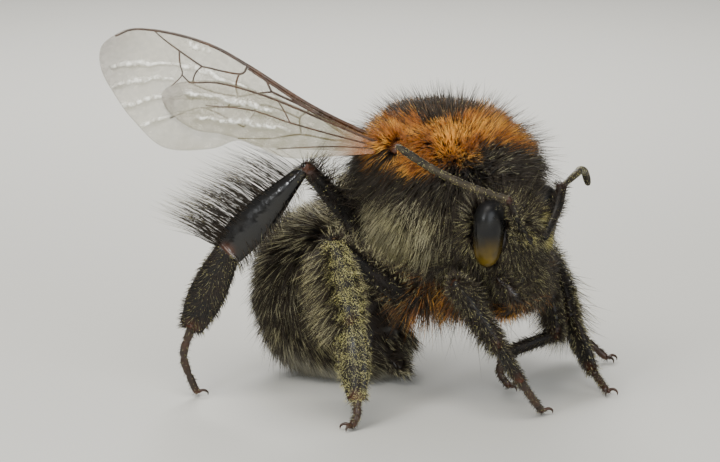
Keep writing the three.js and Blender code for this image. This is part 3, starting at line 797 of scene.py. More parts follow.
def coat_at(points, normals):
    """Where the fur points, how long it is and how dense, at points of the skin."""
    where = region(points)
    away = flattened(points - vec(0.2, 0, 9.6), normals)
    sides = smooth(0.2, 0.8, np.abs(unit(points - THORAX_MIDDLE)[:, 1]))
    fall = flattened(vec(0, 0, -1) * sides[:, None] + vec(-0.3, 0, 0), normals)
    thorax = unit(normals * 0.95 + unit(away) * 0.3 + fall * 0.5)
    off = points - CURL_PIVOT
    tailward = unit(flattened(np.stack([-off[:, 2], 0 * off[:, 0], off[:, 0]], -1), normals))
    tail = unit(normals * 0.62 + tailward * 0.75)
    local = points - HEAD_CENTRE
    top = smooth(0.7, 1.5, local[:, 2])
    down = flattened(np.stack([0.2 * top, 0.15 * local[:, 1], top * 1.2 - 0.7], -1), normals)
    lie = np.choose(where[:, None], (thorax, unit(normals * 0.85 + down), tail))
    lie = unit(lie + 0.16 * np.stack([wobble(points, 1.3, k) for k in (21, 22, 23)], -1))
    front, tail_end = smooth(-0.1, -0.45, back_share(points)), smooth(0.86, 1.0, curl(points))
    low, crown = smooth(5.2, 3.4, points[:, 2]), smooth(8.0, 9.6, points[:, 2])
    chin, behind = smooth(-1.0, -1.6, local[:, 2]), smooth(0.6, -0.3, local[:, 0])
    length = np.choose(where, (
        (0.98 + 0.12 * wobble(points, 0.9, 31) + 0.3 * low) * (1 - 0.3 * crown),
        0.36 + 0.35 * top + 0.15 * behind + 0.3 * chin,
        (0.98 + 0.12 * wobble(points, 1.1, 32)) * (1 - 0.45 * front) * (1 - 0.5 * tail_end)))
    beard = smooth(-0.6, -1.1, local[:, 2]) * smooth(0.5, 1.0, local[:, 0])
    dense = np.choose(where, (1.0, face_density(points) * (1 - 0.2 * beard), 1 - 0.85 * front))
    return lie, length, np.clip(dense, 0, 1)


def face_density(points):
    """1 where the face is furry, 0 under the eyes, and little on the bare cheek below each eye."""
    dense = np.ones(len(points))
    for out in SIDES.values():
        eye = (points - on_head(0.4, out * 1.5, 0.68)) / (0.49, 0.66, 1.18)
        cheek = points - on_head(0.55, out * 1.38, -0.68)
        dense = np.minimum(dense, smooth(0.95, 1.05, np.linalg.norm(eye, axis=1)))
        dense = np.minimum(dense, 0.12 + smooth(0.22, 0.42, np.linalg.norm(cheek, axis=1)))
    return dense


length_skin, dense_skin = coat_at(skin_points, skin_normals)[1:]
print("coat length from", round(length_skin.min(), 2), "to", round(length_skin.max(), 2), "mm")

# %% [markdown]
# Each part of the body gets one or more pieces of coat, so that no mesh grows too heavy. A mask on the skin
# says where a piece grows, such as the top of the thorax, and its roots are drawn there at random. Long
# single hairs, the fringes, break up the outline, as a real bee's guard hairs do.

# %% The body's coat
def body_coat(name, slot, allowed, count, hairs, spread, gather, messy, thick, longer, grains, darker):
    roots, normals = scattered(skin_points, skin_normals, skin_corners, count, dense_skin * allowed)
    lie, length, _ = coat_at(roots, normals)
    hairs, tuft = tufted(roots, normals, lie, length * longer, hairs, spread, gather, messy)
    marks = {key: value[tuft] * (1 - darker) for key, value in markings(roots).items()}
    own = rng.random(len(tuft))
    marks["chance"] = np.where(rng.random(len(tuft)) < 0.5, rng.random(len(roots))[tuft], own)
    dust(hairs, grains)
    return hair_piece(name, slot, hairs, thick, marks, unwrap(roots)[tuft])


is_thorax = (where_skin == 0) * 1.0
is_head = (where_skin == 1) * 1.0
is_tail = (where_skin == 2) * (skin_points[:, 2] > 0.25)
is_chin = is_head * smooth(4.5, 4.2, skin_points[:, 2])
is_tip = is_tail * smooth(0.7, 0.8, curl(skin_points))
upper = smooth(6.9, 7.1, skin_points[:, 2])
is_top, is_low, is_crown = is_thorax * upper, is_thorax * (1 - upper), is_thorax * (0.3 + upper)
BODY_COATS = [  # name, slot, place, tufts, hairs, spread, gather, unevenness, girth, longer, grains, darker
    ("thorax_coat_top", "thorax_coat", is_top, 2650, 7, 0.1, 0.35, 0.12, 0.015, 1.0, 1800, 0),
    ("thorax_coat_top_2", "thorax_coat", is_top, 1600, 8, 0.14, 0.6, 0.09, 0.015, 1.05, 0, 0),
    ("thorax_coat_low", "thorax_coat", is_low, 2750, 7, 0.12, 0.5, 0.12, 0.015, 1.0, 1500, 0),
    ("abdomen_coat_1", "abdomen_coat", is_tail - is_tip, 2200, 7, 0.13, 0.4, 0.14, 0.016, 1.0, 250, 0),
    ("abdomen_coat_2", "abdomen_coat", is_tail - is_tip, 1300, 8, 0.16, 0.65, 0.12, 0.016, 1.0, 0, 0),
    ("tail_coat_1", "tail_coat", is_tip, 950, 7, 0.13, 0.5, 0.14, 0.016, 1.0, 0, 0),
    ("head_coat_1", "head_coat", is_head, 3000, 6, 0.07, 0.35, 0.2, 0.011, 1.05, 1500, 0),
    ("head_fringe", "head_coat", is_head, 1500, 1, 0.04, 0.0, 0.2, 0.009, 2.1, 0, 0.6),
    ("chin_coat", "head_coat", is_chin, 360, 6, 0.08, 0.3, 0.2, 0.011, 0.95, 60, 0),
    ("thorax_fringe", "thorax_coat", is_crown, 3600, 1, 0.05, 0.0, 0.12, 0.010, 1.75, 0, 0.75),
    ("flank_coat", "thorax_coat", is_low, 700, 6, 0.12, 0.75, 0.1, 0.012, 1.3, 300, 0),
    ("abdomen_fringe", "abdomen_coat", is_tail, 1500, 1, 0.05, 0.0, 0.16, 0.011, 1.35, 0, 0.4),
]
for row in BODY_COATS:
    print(row[0], "has", len(body_coat(*row).data.vertices) // SPIKE_CORNERS, "hairs")

# %% [markdown]
# ## Eyes
# A bee's compound eye is an upright teardrop, closely packed with lenses too fine to see one by one. It
# looks black with a soft, deep gloss, and turns olive-brown near its lower end. Three more eyes, simple
# glassy beads, sit in a triangle on the crown. The eye is a loft with a fine bump for its lenses.

# %% Compound eyes
EYE = {"front": 0.4, "out": 1.5, "up": 0.7, "tall": 1.14}
EYE_LENGTH = (0.37, 0.42, 0.45, 0.47, 0.48, 0.49, 0.49, 0.48, 0.44)
EYE_DEPTH = (0.32, 0.42, 0.5, 0.56, 0.6, 0.61, 0.6, 0.56, 0.5)


def eye_finish():
    finish = Finish("eye_gloss", specular_ior_level=0.3)
    along = finish.kept("along")
    finish.put("Roughness", finish.ranged(along, 0.55, 0.95, 0.18, 0.4))
    colour = finish.blend(finish.ranged(along, 0.02, 0.56), (0.125, 0.08, 0.009), (0.004, 0.004, 0.005))
    cloud = finish.ranged(finish.noise(0.5, 2.0), 0.4, 0.7, 0, 0.5)
    finish.put("Base Color", finish.blend(cloud, colour, (0.012, 0.012, 0.01)))
    lenses = finish.bumps("TexVoronoi", 0.035, "Distance", Randomness=0.3)
    finish.rough_up(finish.ranged(lenses, 0.0, 0.6, 1.0, 0.0), 0.003, 0.35)
    return finish.material


EYE_GLOSS = eye_finish()
level = -np.cos(np.linspace(0.06, np.pi - 0.06, 44))
t = (level + 1) / 2
end = np.sqrt(1 - np.abs(level) ** 5)[:, None]
c, s = around_ring(56)
front = EYE["front"] + 0.08 * level[:, None] + through(EYE_LENGTH, t)[:, None] * end * c
up = EYE["up"] + np.broadcast_to(level[:, None] * EYE["tall"], front.shape)
for side, out in SIDES.items():
    left = out * EYE["out"] + through(EYE_DEPTH, t)[:, None] * end * s
    points, faces = loft(on_head(front, left, up))
    along = np.concatenate([np.repeat(t, 56), [0, 1]])
    new_piece(f"compound_eye_{side}", points, faces, "eye", EYE_GLOSS, [f"eye_{side}"], along=along)
print("eyes are", round(2 * EYE["tall"], 2), "mm tall")

# %% Simple eyes
crown = [on_head(0.72, 0, 1.42), on_head(0.5, 0.3, 1.5), on_head(0.5, -0.3, 1.5)]
bead_gloss = Finish("bead_gloss", base_color=(0.02, 0.012, 0.008), roughness=0.08).material
new_piece("simple_eyes", *lofts([bead(place, (0.13, 0.13, 0.12)) for place in crown]), "eye", bead_gloss)
print("simple eyes:", len(crown))

# %% [markdown]
# ## Jaws, tongue and feelers
# Jaws are hard, polished and nearly black, with a rusty edge where they meet. The tongue is folded under the
# head in its brown sheath. Each feeler has a long stalk, which sits in the face on a small knob, and ten
# short rings, so its radius dips where they meet. They are dull brown-grey, and pollen clings to them.

# %% Shell finishes
def shell_finish(name, dark, light, low=0.2, high=0.42, dents=0.05, depth=0.008, level=0.5):
    """Cuticle in two shades, with rust where the piece has it. low and high are its roughness."""
    finish = Finish(name, specular_ior_level=level)
    streaks = finish.ranged(finish.noise(0.15), 0.2, 0.7, 0.6, 1.0)
    rust = finish.maths("MULTIPLY", finish.kept("rust"), streaks)
    shade = finish.blend(finish.ranged(finish.noise(0.7), 0.35, 0.7), dark, light)
    finish.put("Base Color", finish.blend(rust, shade, (0.10, 0.03, 0.010)))
    finish.put("Roughness", finish.ranged(finish.noise(0.3), 0.3, 0.7, low, high))
    finish.rough_up(finish.noise(dents, 2.0), depth, 0.7)
    return finish.material


LEG_SHELL = shell_finish("leg_cuticle", (0.005, 0.0045, 0.004), (0.014, 0.009, 0.007), 0.28, 0.45, level=0.3)
BASKET_SHELL = shell_finish("basket_cuticle", (0.003, 0.003, 0.0035), (0.007, 0.006, 0.005),
                            0.12, 0.25, 0.34, 0.03)
FOOT_SHELL = shell_finish("foot_cuticle", (0.022, 0.011, 0.006), (0.05, 0.022, 0.010), 0.3, 0.5)
JAW_SHELL = shell_finish("jaw_cuticle", (0.008, 0.005, 0.004), (0.025, 0.012, 0.007), 0.12, 0.3)
RING_SHELL = shell_finish("feeler_rings", (0.012, 0.009, 0.006), (0.055, 0.042, 0.022), 0.42, 0.7,
                          0.03, level=0.3)
TONGUE_SHELL = shell_finish("tongue_sheath", (0.02, 0.009, 0.005), (0.045, 0.02, 0.008), 0.4, 0.6)
print("shell finishes ready")

# %% Jaws, lip and tongue
def head_line(points, out=1):
    return [on_head(front, out * left, up) for front, left, up in points]


def shell_piece(name, slot, shapes, material, replaces=(), rust=None):
    """A piece of shell from sets of rings. rust tells how brown each point is, from its place."""
    points, faces = lofts(shapes)
    rust = rust(points) if rust else np.zeros(len(points))
    return new_piece(name, points, faces, slot, material, replaces, rust=rust)


def rusty(spot, share, reach, core):
    return lambda points: share * smooth(reach, core, np.linalg.norm(points - spot, axis=1))


downy = {}  # shells that carry down: rings, slot, number of hairs, their length, lean and way
dusty = []  # shells that pollen sticks to, with the number of grains
for side, out in SIDES.items():
    jaw_line = head_line([(0.42, 1.0, -0.8), (0.92, 0.78, -1.4), (1.2, 0.2, -1.72)], out)
    flat = unit(vec(1, out * 0.6, 0))
    blade = limb_rings(jaw_line, (0.18, 0.23, 0.24, 0.2), (0.15, 0.18, 0.16, 0.09), flat)
    tooth_line = head_line([(1.16, 0.34, -1.66), (1.24, 0.1, -1.8)], out)
    tooth = limb_rings(tooth_line, (0.14, 0.07), (0.09, 0.05), flat, 6, 14)
    downy[f"jaw_{side}"] = (blade, "jaw_shell", 1000, 0.42, 0.5, jaw_line[2] - jaw_line[0])
    shell_piece(f"jaw_{side}", "jaw_shell", [blade, tooth], JAW_SHELL, [f"mandible_{side}"],
                rusty(jaw_line[2], 1.0, 0.6, 0.1))
tongue_line = head_line([(0.75, 0, -1.8), (0.1, 0, -2.2), (-0.7, 0, -2.1)])
sheath = limb_rings(tongue_line, (0.26, 0.24, 0.2), (0.16, 0.17, 0.16))
groove = limb_rings([p - UP * 0.16 for p in tongue_line], (0.12, 0.1, 0.08), (0.1, 0.1, 0.08))
shell_piece("tongue", "mouthparts", [sheath, groove], TONGUE_SHELL, ["proboscis"])
downy["tongue"] = (sheath, "mouthparts", 500, 0.4, 0.3, vec(0.5, 0, -1.0))
lip_line = head_line([(1.18, -0.42, -1.5), (1.3, 0, -1.55), (1.18, 0.42, -1.5)])
lip = limb_rings(lip_line, (0.16, 0.2, 0.16), (0.09, 0.12, 0.09), vec(1, 0, 0))
shell_piece("upper_lip", "jaw_shell", [lip], JAW_SHELL)
print("mouth made of", len(downy) + 1, "pieces")

# %% Feelers
FEELERS = {
    "right": ((1.25, -0.45, 0.4), [(4.49, -2.15, 7.62), (3.55, -2.95, 8.02), (2.55, -3.7, 8.6),
              (1.55, -4.26, 9.28)], 0.7),
    "left": ((1.25, 0.45, 0.4), [(3.61, 1.57, 7.35), (3.4, 2.6, 7.62), (2.87, 3.39, 7.54), (2.4, 4.2, 7.3),
             (2.18, 4.65, 6.8)], 1.05),
}
RINGS = 10


def notched(t, rings, deep, wide):
    """A girth that dips where one ring ends and the next begins."""
    return 1 - deep * smooth(wide, 0.0, np.abs(np.mod(t * rings + 0.5, 1) - 0.5) * 2)


for side, (socket, line, stoutness) in FEELERS.items():
    socket = on_head(*socket)
    line = [vec(*p) for p in line]
    sway = unit(np.cross(line[0] - socket, UP)) * 0.1
    stout = vec(0.13, 0.16, 0.18, 0.17) * stoutness
    scape = limb_rings([socket, socket * 0.5 + line[0] * 0.5 + sway, line[0]], stout, stout)
    knob = bead(socket, (0.16, 0.16, 0.16))
    shell_piece(f"feeler_stalk_{side}", "leg_shell", [scape, knob], LEG_SHELL, [f"scape_{side}"],
                rusty(line[0], 0.3, 0.3, 0.1))
    downy[f"scape_{side}"] = (scape, "leg_shell", 500, 0.22, 0.45, line[0] - socket)
    t = np.linspace(0, 1, RINGS * 9 + 1)
    girth = (0.1 + 0.03 * smooth(0, 0.3, t)) * notched(t, RINGS, 0.17, 0.2) * (0.8 + 0.2 * smooth(1, 0.9, t))
    rings = limb_rings(line, girth, girth, UP, len(t))
    shell_piece(f"feeler_rings_{side}", "antenna", [rings], RING_SHELL, [f"flagellum_{side}"])
    dusty.append((rings, 330))
print("feelers made")

# %% [markdown]
# ## Legs
# A leg is a string of hard shells: the thigh, the shin, one long foot segment and four short ones with two
# claws. Each shell is a loft from joint to joint, thinner than its solid by the bristles it carries. The
# hind shin is the pollen basket: broad, flat, bare and polished, with a fence of long curved hairs.

# %% Leg shells
LEG_FORMS = {
    "fore": {"femur": [(0.34, 0.4, 0.38, 0.32, 0.22), (0.3, 0.34, 0.3, 0.26, 0.2)],
             "tibia": [(0.2, 0.27, 0.31, 0.32, 0.24), (0.18, 0.23, 0.25, 0.24, 0.2)],
             "basitarsus": [(0.17, 0.21, 0.18), (0.14, 0.16, 0.15)]},
    "mid": {"femur": [(0.34, 0.42, 0.4, 0.34, 0.24), (0.3, 0.34, 0.32, 0.28, 0.2)],
            "tibia": [(0.26, 0.48, 0.57, 0.56, 0.42), (0.2, 0.28, 0.32, 0.3, 0.24)],
            "basitarsus": [(0.38, 0.52, 0.48, 0.32), (0.16, 0.2, 0.18, 0.15)]},
    "hind": {"femur": [(0.34, 0.44, 0.42, 0.34, 0.24), (0.3, 0.34, 0.3, 0.26, 0.2)],
             "tibia": [(0.18, 0.36, 0.54, 0.62, 0.56), (0.17, 0.21, 0.22, 0.21, 0.17)],
             "basitarsus": [(0.42, 0.56, 0.6, 0.42), (0.15, 0.18, 0.18, 0.14)]},
}
LEG_PARTS = {"femur": (0, 2), "tibia": (2, 3), "basitarsus": (3, 4), "tarsus": (4, 6)}
FOOT_SEGMENTS = 4
SOLE = 0.16


def claw_shapes(foot, ahead):
    """Two hooked claws and the pad between them."""
    aside = vec(-ahead[1], ahead[0], 0)
    hook = (0.06, 0.05, 0.036, 0.01)
    shapes = [bead(foot + ahead * 0.12 + UP * 0.01, (0.08, 0.08, 0.07), 8, 12)]
    for way in (-1, 1):
        arch = [(0, 0, 0), (0.17, 0.15, 0.07), (0.3, 0.22, 0), (0.32, 0.23, -0.11)]
        arch = [foot + ahead * far + aside * way * wide + UP * up for far, wide, up in arch]
        shapes.append(limb_rings(arch, hook, hook, UP, 12, 10))
    return shapes


def leg_part_rings(form, flat, joints, part):
    if part != "tarsus":
        first, last = LEG_PARTS[part]
        return limb_rings(joints[first:last + 1], *LEG_FORMS[form][part], flat, 30, 26)
    t = np.linspace(0, 1, FOOT_SEGMENTS * 10 + 1)
    girth = (0.15 - 0.03 * t) * notched(t, FOOT_SEGMENTS, 0.3, 0.3)
    return limb_rings([joints[4], joints[5], joints[6] + UP * SOLE], girth, girth * 0.9, flat, len(t), 16)


leg_surfaces = {}
for name, (form, flat, joints) in LEGS.items():
    ahead = unit((joints[6] - joints[5]) * (1, 1, 0.001))
    extras = {"femur": [bead(joints[1], (0.42, 0.42, 0.4))], "tibia": [bead(joints[2], (0.19, 0.19, 0.19))],
              "tarsus": claw_shapes(joints[6] + UP * SOLE, ahead)}
    for part, (first, last) in LEG_PARTS.items():
        rings = leg_part_rings(form, flat, joints, part)
        leg_surfaces[name, part] = rings
        slot, polish = ("brown_shell", FOOT_SHELL) if part == "tarsus" else ("leg_shell", LEG_SHELL)
        if form == "hind" and part == "tibia":
            polish = BASKET_SHELL
        shell_piece(f"{name}_{part}_shell", slot, [rings] + extras.get(part, []), polish, [f"{name}_{part}"],
                    rusty(joints[last], 0.7, 0.42, 0.12))
print("leg shells:", len(leg_surfaces))

# %% [markdown]
# Bristles and fringes grow from those shells. Short ones lie along the leg; long ones make the fence of the
# pollen basket and the soft brush behind the middle shin.

# %% Hair on a shell
def rooted_on(rings, count, weigh=lambda points, normals, along: np.ones(len(points))):
    """Random places and normals on a loft. weigh favours some of its points; along runs from 0 to 1."""
    points, (quads, *_) = loft(rings)
    corners = np.concatenate([quads[:, :3], quads[:, [0, 2, 3]]])
    out = unit(rings - rings.mean(1)[:, None])
    normals = np.concatenate([out.reshape(-1, 3), np.zeros((2, 3))])
    along = np.concatenate([np.repeat(np.linspace(0, 1, len(rings)), rings.shape[1]), [0, 1]])
    return scattered(points, normals, corners, count, weigh(points, normals, along))


def marks_of(count, **values):
    """The same marks for each of several hairs, or one of its own where a value is an array."""
    names = ("ginger", "pale", "white", "gold")
    return {key: np.broadcast_to(values.get(key, 0.0), (count,)) for key in names}


def leg_hairs(name, part, count, length, lean, side=0, keen=1.0, start=0.0, messy=0.12, in_plane=0.0):
    """Hairs on one shell. lean pushes them along the leg. side is -1 or 1 for the hairs of one edge."""
    _, flat, joints = LEGS[name]
    first, last = LEG_PARTS[part]
    axis = unit(joints[last] - joints[max(first, last - 1)])
    edge = unit(np.cross(unit(flat - axis * (axis @ flat)), axis))

    def weigh(points, normals, along):
        if side == 0:
            return np.ones(len(points)) + 1e-9
        return smooth(start, 1.0, normals @ edge * side) ** keen * smooth(0.02, 0.2, along) + 1e-9

    roots, normal = rooted_on(leg_surfaces[name, part], count, weigh)
    normal = unit(normal - np.outer(normal @ unit(flat), unit(flat)) * in_plane)
    long = length * rng.uniform(0.75, 1.15, count)
    return tufted(roots, normal, unit(normal + axis * lean), long, 1, 0.03, 0.3, messy)[0]


print("a hair's marks:", list(marks_of(1)))

# %% Leg hair
LEG_COAT = {  # short bristles: part, count, length, lean
    "fore": [("femur", 2200, 0.42, 0.8), ("tibia", 2000, 0.3, 1.0), ("basitarsus", 600, 0.22, 1.2),
             ("tarsus", 350, 0.13, 1.0)],
    "mid": [("femur", 1200, 0.42, 0.8), ("tibia", 1500, 0.36, 0.9), ("basitarsus", 900, 0.22, 1.3),
            ("tarsus", 350, 0.13, 1.0)],
    "hind": [("femur", 1200, 0.4, 0.8), ("basitarsus", 2000, 0.24, 1.3), ("tarsus", 350, 0.13, 1.0)],
}
LEG_FRINGES = {  # long hairs: the same, then side, keenness, where they start, unevenness, flatness
    "fore": [("femur", 300, 0.7, 0.4, 1, 1.0, 0.1, 0.12), ("tibia", 200, 0.5, 0.6, 1, 2.0, 0.1, 0.12)],
    "mid": [("tibia", 1500, 1.15, 0.5, 1, 0.6, 0.1, 0.14), ("femur", 300, 0.7, 0.3, 1, 2.0, 0.1, 0.12)],
    "hind": [("tibia", 520, 2.1, 0.3, 1, 1.5, 0.88, 0.06, 0.9), ("tibia", 300, 0.5, 0.6, -1, 1.5, 0.85, 0.1),
             ("femur", 420, 1.1, 0.2, 1, 1.2, 0.1, 0.1, 0.7)],
}
LEG_GRAINS = {"leg_mid_right": 1500, "leg_fore_right": 900, "leg_hind_right": 1100}
for name, (form, flat, joints) in LEGS.items():
    axis = unit(joints[3] - joints[2])
    behind = -1 if np.cross(flat - axis * (axis @ flat), axis)[0] > 0 else 1
    groups = [leg_hairs(name, *row) for row in LEG_COAT[form]]
    groups += [leg_hairs(name, *row[:4], row[4] * behind, *row[5:]) for row in LEG_FRINGES[form]]
    hairs = [np.concatenate([group[k] for group in groups]) for k in range(3)]
    dust(hairs, LEG_GRAINS.get(name, 300))
    girth = np.concatenate([np.full(len(group[0]), 0.009 if k >= len(LEG_COAT[form]) else 0.012)
                            for k, group in enumerate(groups)])
    far = np.linalg.norm(hairs[0] - joints[0], axis=1) / 14
    off = hairs[0] - joints[3]
    turn = np.arctan2(off[:, 1], off[:, 0]) / (2 * np.pi) + 0.5
    places = np.stack([turn * 0.9 + 0.02, np.clip(far, 0, 0.95)], -1)
    marks = marks_of(len(far), gold=0.2, pale=0.45 if form == "mid" else 0.22)
    hair_piece(f"{name}_bristles", "leg_shell", hairs, girth, marks, places)
print("leg hair made on", len(LEGS), "legs")

# %% Down on the mouth and the feelers' stalks
for name, (rings, slot, count, length, lean, way) in downy.items():
    roots, normal = rooted_on(rings, count)
    long = length * rng.uniform(0.7, 1.2, count)
    hairs = tufted(roots, normal, unit(normal + unit(way) * lean), long, 1, 0.02, 0.0, 0.2)[0]
    brown = {"jaw_shell": 0.3, "mouthparts": 0.6}.get(slot, 0.0) * smooth(4.3, 3.9, roots[:, 2])
    light = 0.2 if slot != "leg_shell" else 0.34 if "right" in name else 0.0
    spread_out = np.stack([rng.uniform(0.02, 0.95, count), rng.uniform(0.02, 0.95, count)], -1)
    dust(hairs, 90)
    marks = marks_of(count, ginger=brown, pale=light, gold=0.25)
    hair_piece(f"{name}_down", slot, hairs, 0.011, marks, spread_out)
print("down made on", len(downy), "shells")

# %% [markdown]
# ## Pollen
# A foraging bee is peppered with pollen. Each grain is a tiny eight-sided bead that sits on a hair. One
# mesh holds them all, which is far lighter than thousands of separate balls.

# %% Grains on the hairs
GRAIN_CORNERS = np.concatenate([np.eye(3), -np.eye(3)])[[0, 3, 1, 4, 2, 5]]
GRAIN_SIDES = np.array([(0, 2, 4), (2, 1, 4), (1, 3, 4), (3, 0, 4),
                        (2, 0, 5), (1, 2, 5), (3, 1, 5), (0, 3, 5)])


def caked(points, normals, along):
    """How thickly pollen lies on the outer face of the middle leg, in clumps."""
    facing = smooth(-0.2, 0.5, normals @ unit(LEGS["leg_mid_right"][1]))
    facing = facing * (0.25 + smooth(-0.4, 0.5, wobble(points, 0.45, 61)))
    return facing * smooth(0.0, 0.2, along) + 1e-9


pollen_places += [rooted_on(rings, count)[0] for rings, count in dusty]
for part, count in (("tibia", 3800), ("basitarsus", 1700)):
    roots, normal = rooted_on(leg_surfaces["leg_mid_right", part], count, caked)
    pollen_places.append(roots + normal * rng.uniform(0.0, 0.2, (count, 1)))
centres = np.concatenate(pollen_places)
centres = centres[centres[:, 2] > 0.1]
points = centres[:, None] + GRAIN_CORNERS * rng.uniform(0.005, 0.0125, (len(centres), 1, 1))
faces = (np.arange(len(centres)) * 6)[:, None, None] + GRAIN_SIDES
pollen = Finish("pollen", roughness=0.5)
pollen.put("Base Color", pollen.blend(pollen.noise(0.3), (0.88, 0.81, 0.22), (0.98, 0.92, 0.44)))
new_piece("pollen", points.reshape(-1, 3), [faces.reshape(-1, 3)], "thorax_coat", pollen.material)
print("pollen grains:", len(centres))

# %% [markdown]
# ## Wings
# A wing is a clear film, hardly thicker than a soap bubble's look suggests, stretched over brown veins. The
# film is not flat: it is pleated along its length, and those pleats catch the light; their crests also carry
# painted glare as long whitish streaks, stronger on the right wings.
# We build it as a fine grid between the leading and trailing outlines, with a height from a formula, and
# the veins as thin tubes on the same height.

# %% Outlines and veins
FOREWING = {"leading": [(0, -0.2), (2.9, -0.48), (5.57, -1.12), (6.9, -1.36), (8.3, -1.32), (9.6, -1.0),
                        (10.2, -0.42), (10.36, 0.1)],
            "trailing": [(0, 0.3), (1.07, 0.48), (2.9, 1.05), (4.22, 1.46), (5.0, 1.5), (5.75, 2.07),
                         (7.2, 2.53), (8.53, 1.97), (9.4, 1.35), (10.05, 0.75), (10.36, 0.1)]}
HINDWING = {"leading": [(0, -0.15), (2.0, -0.25), (4.0, -0.35), (5.6, -0.25), (6.8, 0.2), (7.3, 0.75)],
            "trailing": [(0, 0.3), (1.2, 0.85), (2.3, 1.35), (3.1, 1.5), (4.0, 1.4), (5.0, 1.45), (5.9, 1.6),
                         (6.9, 1.3), (7.3, 0.75)]}
WING_WAYS = {"right": (vec(-0.797, -0.521, 0.305), vec(0.1, -0.53, -0.84)),
             "left": (vec(-0.78, 0.37, -0.5), vec(-0.6, -0.42, 0.66))}
FORE_VEINS = [  # points along and across the wing, then the vein's radius at its root and end
    ([(0.05, -0.12), (2.9, -0.42), (5.56, -1.05), (6.9, -1.3), (8.3, -1.26), (9.5, -1.0), (10.05, -0.55)],
     0.075, 0.028),
    ([(0.3, -0.02), (2.9, -0.3), (4.6, -0.72), (5.5, -0.95)], 0.055, 0.04),
    ([(0.1, 0.05), (0.95, 0.2), (2.0, 0.02), (3.12, -0.31), (4.51, -0.46)], 0.075, 0.04),
    ([(4.51, -0.46), (4.8, -0.75), (5.03, -0.94)], 0.035, 0.035),
    ([(5.56, -1.02), (5.74, -0.68), (6.98, -0.5)], 0.04, 0.032),
    ([(6.98, -0.5), (7.88, -0.77), (8.48, -0.97), (8.9, -1.15)], 0.035, 0.022),
    ([(4.51, -0.46), (5.0, -0.2), (5.5, 0.08)], 0.035, 0.03),
    ([(5.74, -0.68), (5.7, -0.3), (5.5, 0.08)], 0.035, 0.03),
    ([(5.5, 0.08), (6.3, 0.2), (7.08, 0.17), (7.5, 0.0)], 0.032, 0.026),
    ([(6.98, -0.5), (7.1, -0.2), (7.08, 0.17)], 0.03, 0.026),
    ([(7.88, -0.77), (7.7, -0.35), (7.5, 0.0), (7.7, 0.5)], 0.03, 0.02),
    ([(3.32, 0.08), (4.1, 0.02), (4.72, 0.1), (5.69, 0.53), (6.6, 0.9)], 0.035, 0.026),
    ([(3.12, -0.31), (3.32, 0.08), (3.12, 0.53)], 0.032, 0.03),
    ([(4.8, 0.12), (4.8, 0.45), (4.95, 1.0)], 0.03, 0.026),
    ([(4.95, 1.0), (6.06, 0.84), (6.6, 0.9), (7.35, 1.53)], 0.03, 0.02),
    ([(5.5, 0.08), (5.62, 0.32), (5.69, 0.53)], 0.03, 0.026),
    ([(0.2, 0.16), (1.52, 0.26), (2.15, 0.42), (3.12, 0.6), (4.01, 1.07), (4.99, 1.42)], 0.045, 0.026),
]
HIND_VEINS = [
    ([(0.05, -0.08), (2.0, -0.18), (4.0, -0.28), (5.6, -0.18), (6.6, 0.15)], 0.05, 0.025),
    ([(0.1, 0.05), (1.6, 0.2), (3.0, 0.3), (4.4, 0.35), (5.8, 0.7)], 0.035, 0.02),
    ([(0.1, 0.15), (1.2, 0.5), (2.2, 0.9), (3.1, 1.3)], 0.03, 0.018),
    ([(3.0, 0.3), (3.3, 0.0), (3.6, -0.25)], 0.025, 0.022),
]
FORE_FOLDS = [  # crests of the film's folds, as points along and across the wing, from the margin inwards
    [(9.8, 0.45), (8.5, -0.1), (7.27, -0.39), (5.48, -0.28), (3.84, -0.19)],
    [(9.58, 1.19), (8.9, 0.72), (8.36, 0.4), (7.4, 0.2)],
    [(9.0, 1.66), (8.03, 1.01), (6.57, 0.5), (5.83, 0.52)],
    [(8.25, 2.22), (7.33, 1.36), (6.3, 0.92), (5.25, 0.99)],
    [(4.98, 0.44), (3.97, 0.37), (2.6, 0.25)],
    [(7.65, -1.15), (6.6, -1.09)],
]
HIND_FOLDS = [[(6.6, 0.5), (5.2, 0.25), (3.4, 0.1)], [(5.9, 1.2), (4.4, 0.8), (2.6, 0.5)]]
print("veins:", len(FORE_VEINS), "in a forewing,", len(HIND_VEINS), "in a hindwing")


# %% The film's folds and its place
def wing_frame(side, along=0.0, across_=0.0, off=0.0):
    """Root and the three directions of a wing: along, towards its trailing edge, and out of its plane."""
    span, edge = WING_WAYS[side]
    span = unit(span)
    edge = unit(edge - span * (edge @ span))
    normal = np.cross(span, edge)
    root = vec(-0.4, SIDES[side] * 2.2, 8.6) + span * along + edge * across_ + normal * off
    return root, span, edge, normal


def on_wing(place, x, y, z):
    root, span, edge, normal = place
    return root + x[..., None] * span + y[..., None] * edge + z[..., None] * normal


def pleat(x, y, folds):
    """How near each point is to a crest, from 0 to 1. Crests waver, and fade at both ends."""
    best = np.zeros(np.shape(x))
    for fold in folds:
        along, across_ = np.array(fold[::-1]).T
        middle = np.interp(x, along, across_) + 0.03 * np.sin(5.3 * x) + 0.02 * np.sin(11 * x + 1)
        ends = smooth(along[0] - 0.1, along[0] + 0.5, x) * smooth(along[-1] + 0.25, along[-1] - 0.1, x)
        width = 0.11 + 0.035 * np.sin(2.9 * x + fold[0][1])
        best = np.maximum(best, ends * np.exp(-((y - middle) / width) ** 2))
    return best


def wing_height(x, y, folds):
    """How far the film stands out of its plane."""
    reach = x / 10.37
    camber = 0.16 * np.sin(np.pi * np.clip(reach, 0, 1)) * (1 - 0.15 * (y - 0.3) ** 2)
    return camber + 0.03 * pleat(x, y, folds) + 0.004 * np.sin(9 * x + 4 * y) * np.sin(7 * y - 2 * x)


print("camber halfway:", round(float(wing_height(5.2, 0.3, [])), 2), "mm")


